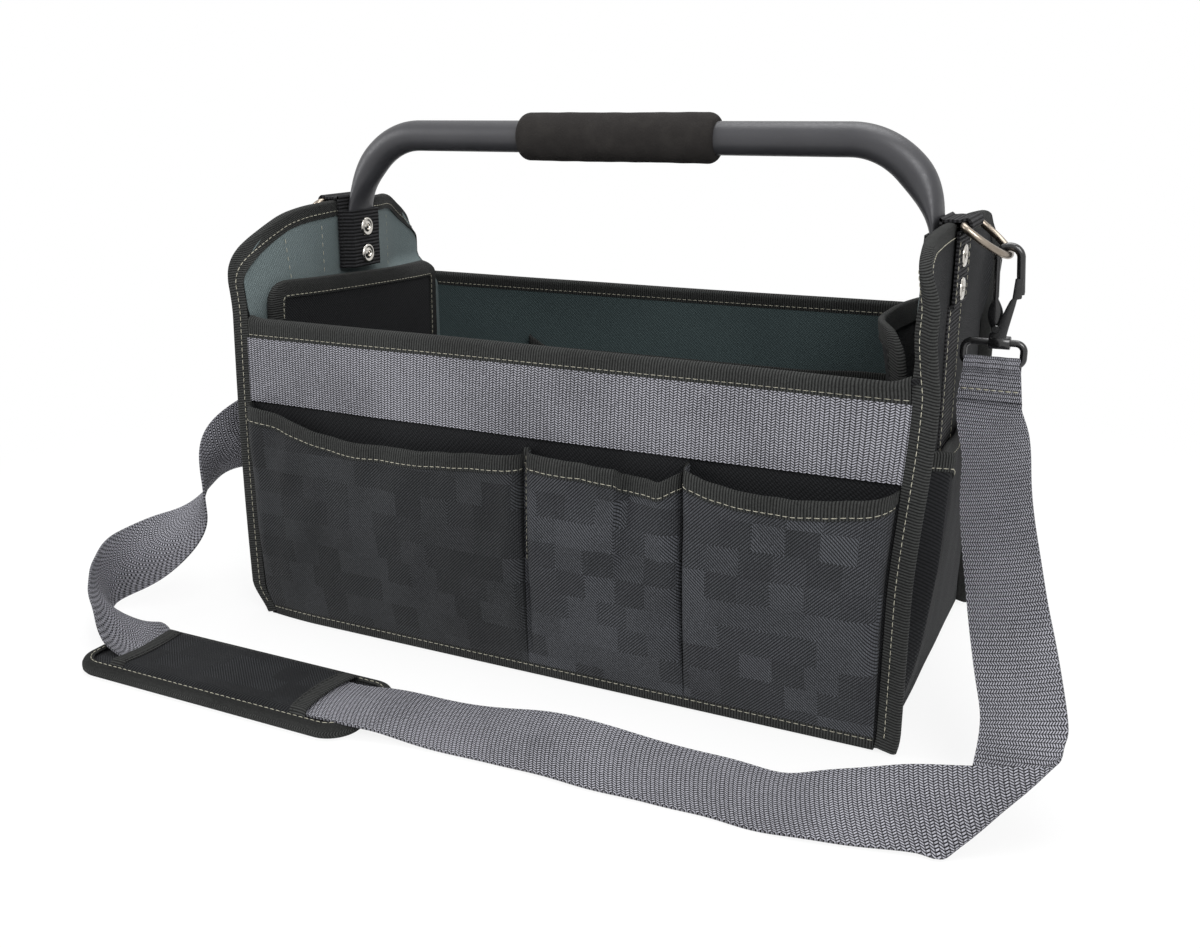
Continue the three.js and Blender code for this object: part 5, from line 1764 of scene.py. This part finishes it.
@dataclass
class Handle:
    """Bent steel tube with flattened feet, foam grip, webbing sleeves, ring tabs and rivets."""

    foot_x: float = 217.1
    foot_low: float = 248.5
    bend_run: float = 57.0
    bend_base: float = 280.0
    height: float = 345.5
    radius: float = 11.0
    sleeve_x: float = 212.6
    tab_inner: float = 221.8
    tab_outer: float = 232.7
    tab_half: float = 21.5
    bar: tuple[float, float] = RING_BAR
    foot_half: tuple[float, float] = (15.5, 3.5)
    grip_half: float = 72.5
    rivet_ends: tuple[float, float] = (211.3, 233.9)
    rivet_heights: tuple[float, float] = (277.0, 256.5)

    def tube(self) -> None:
        """Builds the tube: its section eases from a flat oval at the feet to round in the bends."""
        rise = np.linspace(self.foot_low, self.bend_base, 10)[:-1]
        start = self.foot_x - self.bend_run
        high = self.height - self.bend_base
        bend = arc(0.0, math.pi / 2.0, self.bend_run, high, 44) + [start, self.bend_base]
        flat = np.linspace(start, 0.0, 12)[1:]
        line = doubled(np.vstack([stacked(self.foot_x, rise), bend, stacked(flat, self.height)]))
        ease = smooth((line[:, 1] - 285.0) / 43.0)
        wide, thin = (half + (self.radius - half) * ease for half in self.foot_half)
        path = stacked(line[:, 0], 0.0, line[:, 1])
        shell = sweep(path, Y_AXIS, circle(wide, 40, thin / wide), True, False, True)
        dress("handle_tube_skin", shell.outward(), PAINT, "bag", ("handle_tube",))

    def grip(self) -> None:
        """Builds the foam grip: a sleeve with soft ends and a slightly uneven skin."""
        soft = np.linspace(66.0, self.grip_half, 12)
        x = np.concatenate([-soft[::-1], np.linspace(-64.0, 64.0, 60), soft])
        edge = np.clip((self.grip_half - np.abs(x)) / 6.5, 0.0, 1.0)
        radius = 11.6 + 4.9 * np.sqrt(1.0 - (1.0 - edge) ** 2)
        angle = np.linspace(0.0, 2.0 * math.pi, 48, endpoint=False)
        uneven = 0.22 * ripple(x[:, None], angle * 16.0, 81, 26.0) * edge[:, None]
        profile = unit_ring(48) * (radius[:, None] + uneven)[..., None]
        shell = sweep(stacked(x, 0.0, self.height), Z_AXIS, profile, True, False, True)
        dress("handle_grip_foam", shell.outward(), FOAM, "bag", ("handle_grip",))

    def sleeve(self) -> tuple[Shell, Shell]:
        """The webbing sleeve over a foot.

        Returns:
            The cloth and its seams.
        """
        y = np.linspace(-self.tab_half - 1.0, self.tab_half + 1.0, 60)[:, None]
        z = np.linspace(247.0, 290.0, 24)
        ride = smooth((np.abs(y) - 16.4) / 4.0)
        x = self.sleeve_x - 0.9 + (self.tab_inner - 2.1 - self.sleeve_x) * ride
        cloth = grid(stacked(x + 0.25 * ripple(y, z, 91, 18.0), y, z), stacked(z, y)).facing((-1, 0, 0))
        z = np.linspace(248.0, 289.0, 20)
        x = self.tab_inner - 3.2
        rows = [stitch_row(stacked(x, edge, z), -X_AXIS, 3.6, 2.6) for edge in (-21.2, 21.2)]
        return cloth, joined(rows)

    def tab(self) -> tuple[Shell, Shell]:
        """The webbing tab: up behind the foot, over the arch, round the ring's bar and down outside.

        Returns:
            The cloth and its seams.
        """
        top = BAG.crown + 3.6
        loop = arc(math.pi / 2.0, math.pi / 2.0 - 3.6, 4.85, 4.85, 22) + self.bar
        inner, outer = self.tab_inner, self.tab_outer + 0.9
        stops = np.vstack([
            [[inner - 0.9, z] for z in (247.0, 265.0, 285.0, 298.0)],
            [[inner - 0.6, 301.4], [inner + 1.0, top], [227.0, top + 0.3], [232.5, top + 0.2]],
            loop[2:],
            [[outer, z] for z in (288.0, 280.0, 265.0, 247.0)],
        ])
        line = spline(stops, 3)
        y = np.linspace(-self.tab_half, self.tab_half, 18)
        cloth = grid(stacked(line[:, :1], y, line[:, 1:])).facing((0, 0, 1))
        z = np.linspace(249.0, 288.0, 20)
        inset = self.tab_half - 3.0
        rows = [stitch_row(stacked(self.tab_outer + 1.0, edge, z), X_AXIS) for edge in (-inset, inset)]
        return cloth, joined(rows)

    def rivet(self, z: float) -> Shell:
        """A tubular rivet: a shank, and at both ends a flat washer round a rolled collar with a hole.

        Args:
            z: Its height.

        Returns:
            The closed surface.
        """
        head = [(0.0, -2.6), (1.5, -2.6), (1.7, 0.9), (2.4, 1.5), (3.2, 1.3), (3.7, 0.5), (4.4, 0.35),
                (5.2, 0.9), (6.2, 1.1), (6.9, 0.6), (7.1, 0.0), (2.5, 0.0)]
        start, stop = self.rivet_ends
        profile = [(r, start - h) for r, h in head] + [(r, stop + h) for r, h in head[::-1]]
        return lathe(profile, (0.0, 0.0, z), X_AXIS, 36)

    def build(self) -> None:
        """Builds the handle and what holds it."""
        self.tube()
        self.grip()
        for side in SIDES:
            for name, stem, node, (cloth, seams), thread in (
                    ("foot_sleeve", "foot_sleeve", "handle_sleeve", self.sleeve(), DARK_THREAD),
                    ("tab_webbing", "tab", "ring_tab", self.tab(), THREAD)):
                dress(f"{side}_{name}", on_side(cloth, side), STRAPPING, "bag", (f"{side}_{node}",), 1.6)
                dress(f"{side}_{stem}_seams", on_side(seams, side), thread, "bag")
            for word, z in (("upper", self.rivet_heights[0]), ("lower", self.rivet_heights[1])):
                rivet = on_side(self.rivet(z), side)
                dress(f"{side}_{word}_rivet_cap", rivet, RIVET, "bag", (f"{side}_{word}_rivet",))


# Rings and hooks

@dataclass
class HookSet:
    """One end's ring, snap hook, gate and strap loop, drawn for the right end."""

    bar: tuple[float, float] = RING_BAR
    hang: float = 37.0
    centre: tuple[float, float] = (260.018, 276.774)
    bend: float = 6.8

    def ring(self) -> Shell:
        """The ring: a straight bar and a half-oval bow of round wire.

        Returns:
            The closed surface.
        """
        corner = np.linspace(0.0, math.pi / 2.0, 10)[:-1]
        right = stacked(22.5 + 4.0 * np.sin(corner), 4.0 * (1.0 - np.cos(corner)))
        bow = arc(0.0, math.pi, 26.5, 26.7, 60) + [0.0, 4.0]
        bar = stacked(np.linspace(-22.5, 22.5, 24)[:-1], 0.0)
        line = np.vstack([bar, right, bow, (right * [-1.0, 1.0])[::-1][:-1]])
        slope = math.radians(self.hang)
        path = stacked(self.bar[0] + line[:, 1] * math.cos(slope), line[:, 0],
                       self.bar[1] - line[:, 1] * math.sin(slope))
        normal = np.array([math.sin(slope), 0.0, math.cos(slope)])
        return sweep(path, normal, circle(2.25, 20), True, True).outward()

    def place(self, x: Array, y: Array | float, z: Array) -> Array:
        """Puts hook coordinates, about the centre of the bend, into the bag's frame."""
        return stacked(self.centre[0] + x, y, self.centre[1] + z)

    def hook(self) -> Shell:
        """The hook: a bent round wire, a flat tapering plate and a rolled eye.

        Returns:
            The three closed surfaces as one.
        """
        shank = stacked(np.linspace(self.bend, 8.4, 14), np.linspace(0.0, -22.0, 14))[1:]
        line = np.vstack([[[-self.bend, -1.4], [-self.bend, -0.7]],
                          arc(math.pi, 0.0, self.bend, self.bend, 36), shank])
        radius = np.full(len(line), 2.5)
        radius[0], radius[-1] = 2.1, 2.2
        path = self.place(line[:, 0], 0.0, line[:, 1])
        wire = sweep(path, Y_AXIS, circle(radius, 20), True, False, True).outward()
        z = np.linspace(-12.0, -50.4, 90)[:, None]
        left = np.interp(-z, [12, 24, 26, 29, 43, 47, 50.4], [4.8, 4.0, 2.6, 1.4, -4.0, -7.4, -7.6])
        right = np.interp(-z, [12, 24, 24.6, 29, 43, 50.4], [9.4, 9.4, 6.8, 6.1, 3.4, 2.2])
        square = np.sign(unit_ring(24)) * np.abs(unit_ring(24)) ** 0.28
        x = (left + right) / 2.0 + square[:, 0] * (right - left) / 2.0
        plate = grid(capped(self.place(x, -1.9 + 1.1 * square[:, 1], z)), None, False, True).outward()
        eye = lathe([(2.5, -7.4), (3.8, -7.4), (4.2, -7.0), (4.2, 4.8), (3.8, 5.2), (2.5, 5.2), (2.5, -7.4)],
                    (self.centre[0], 0.0, self.centre[1] - 52.0), X_AXIS)
        return wire + plate + eye

    def gate(self) -> Shell:
        """The gate: a straight bar that swells into a lens-shaped thumb pad at the pivot.

        Returns:
            The closed surface.
        """
        z = np.concatenate([np.linspace(-1.6, -24.0, 16), np.linspace(-25.0, -47.0, 50)])[:, None]
        bar = z > -24.5
        share = np.clip((-25.0 - z) / 22.0, 0.0, 1.0)
        lens = np.sin(math.pi * np.clip(0.08 + share * 0.88, 0.0, 1.0))
        half = np.where(bar, 1.7, np.maximum(1.5, 4.6 * lens))
        deep = np.where(bar, 1.9, 1.9 - 0.2 * lens)
        x = np.where(bar, -6.8 - (z + 1.6) / 22.4, -5.8 + 1.2 * share)
        ring = unit_ring(28)
        rings = self.place(x + half * ring[:, 0], 1.5 + deep * ring[:, 1], z)
        return grid(capped(rings), None, False, True).outward()

    def loop(self) -> Shell:
        """The oblong wire loop between the hook's eye and the strap.

        Returns:
            The closed surface.
        """
        turn = math.pi / 2.0
        corners = ((12.8, -2.0), (12.8, 2.0), (-12.8, 2.0), (-12.8, -2.0))
        line = np.vstack([arc((k - 1) * turn, k * turn, 5.0, 5.0, 10) + at for k, at in enumerate(corners)])
        path = self.place(line[:, 0] - 4.4, 0.0, line[:, 1] - 59.0)
        return sweep(path, Y_AXIS, circle(2.2, 20), True, True).outward()

    def build(self, side: str) -> None:
        """Builds one end's set.

        Args:
            side: right or left.
        """
        for name, shell, finish, body, node in (
                ("ring_wire", self.ring(), NICKEL, "ring", "d_ring"),
                ("hook_steel", self.hook(), STEEL, "snap_hook", "hook"),
                ("gate_steel", self.gate(), STEEL, "gate", "hook_gate"),
                ("loop_wire", self.loop(), STEEL, "loop", "strap_loop")):
            dress(f"{side}_{name}", on_side(shell, side), finish, f"{side}_{body}", (f"{side}_{node}",))
        recoat(f"{side}_gate_pin", STEEL)
        recoat(f"{side}_gate_spring", STEEL)


def main() -> None:
    """Builds the studio, the strap, the sewn body, the pockets, the handle and the hooks."""
    logging.basicConfig(level=logging.INFO, format="%(name)s %(message)s")
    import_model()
    Studio().build()
    ShoulderStrap().build()
    SewnBody().build()
    Pockets().build()
    Handle().build()
    for side in SIDES:
        HookSet().build(side)


if __name__ == "__main__":
    main()
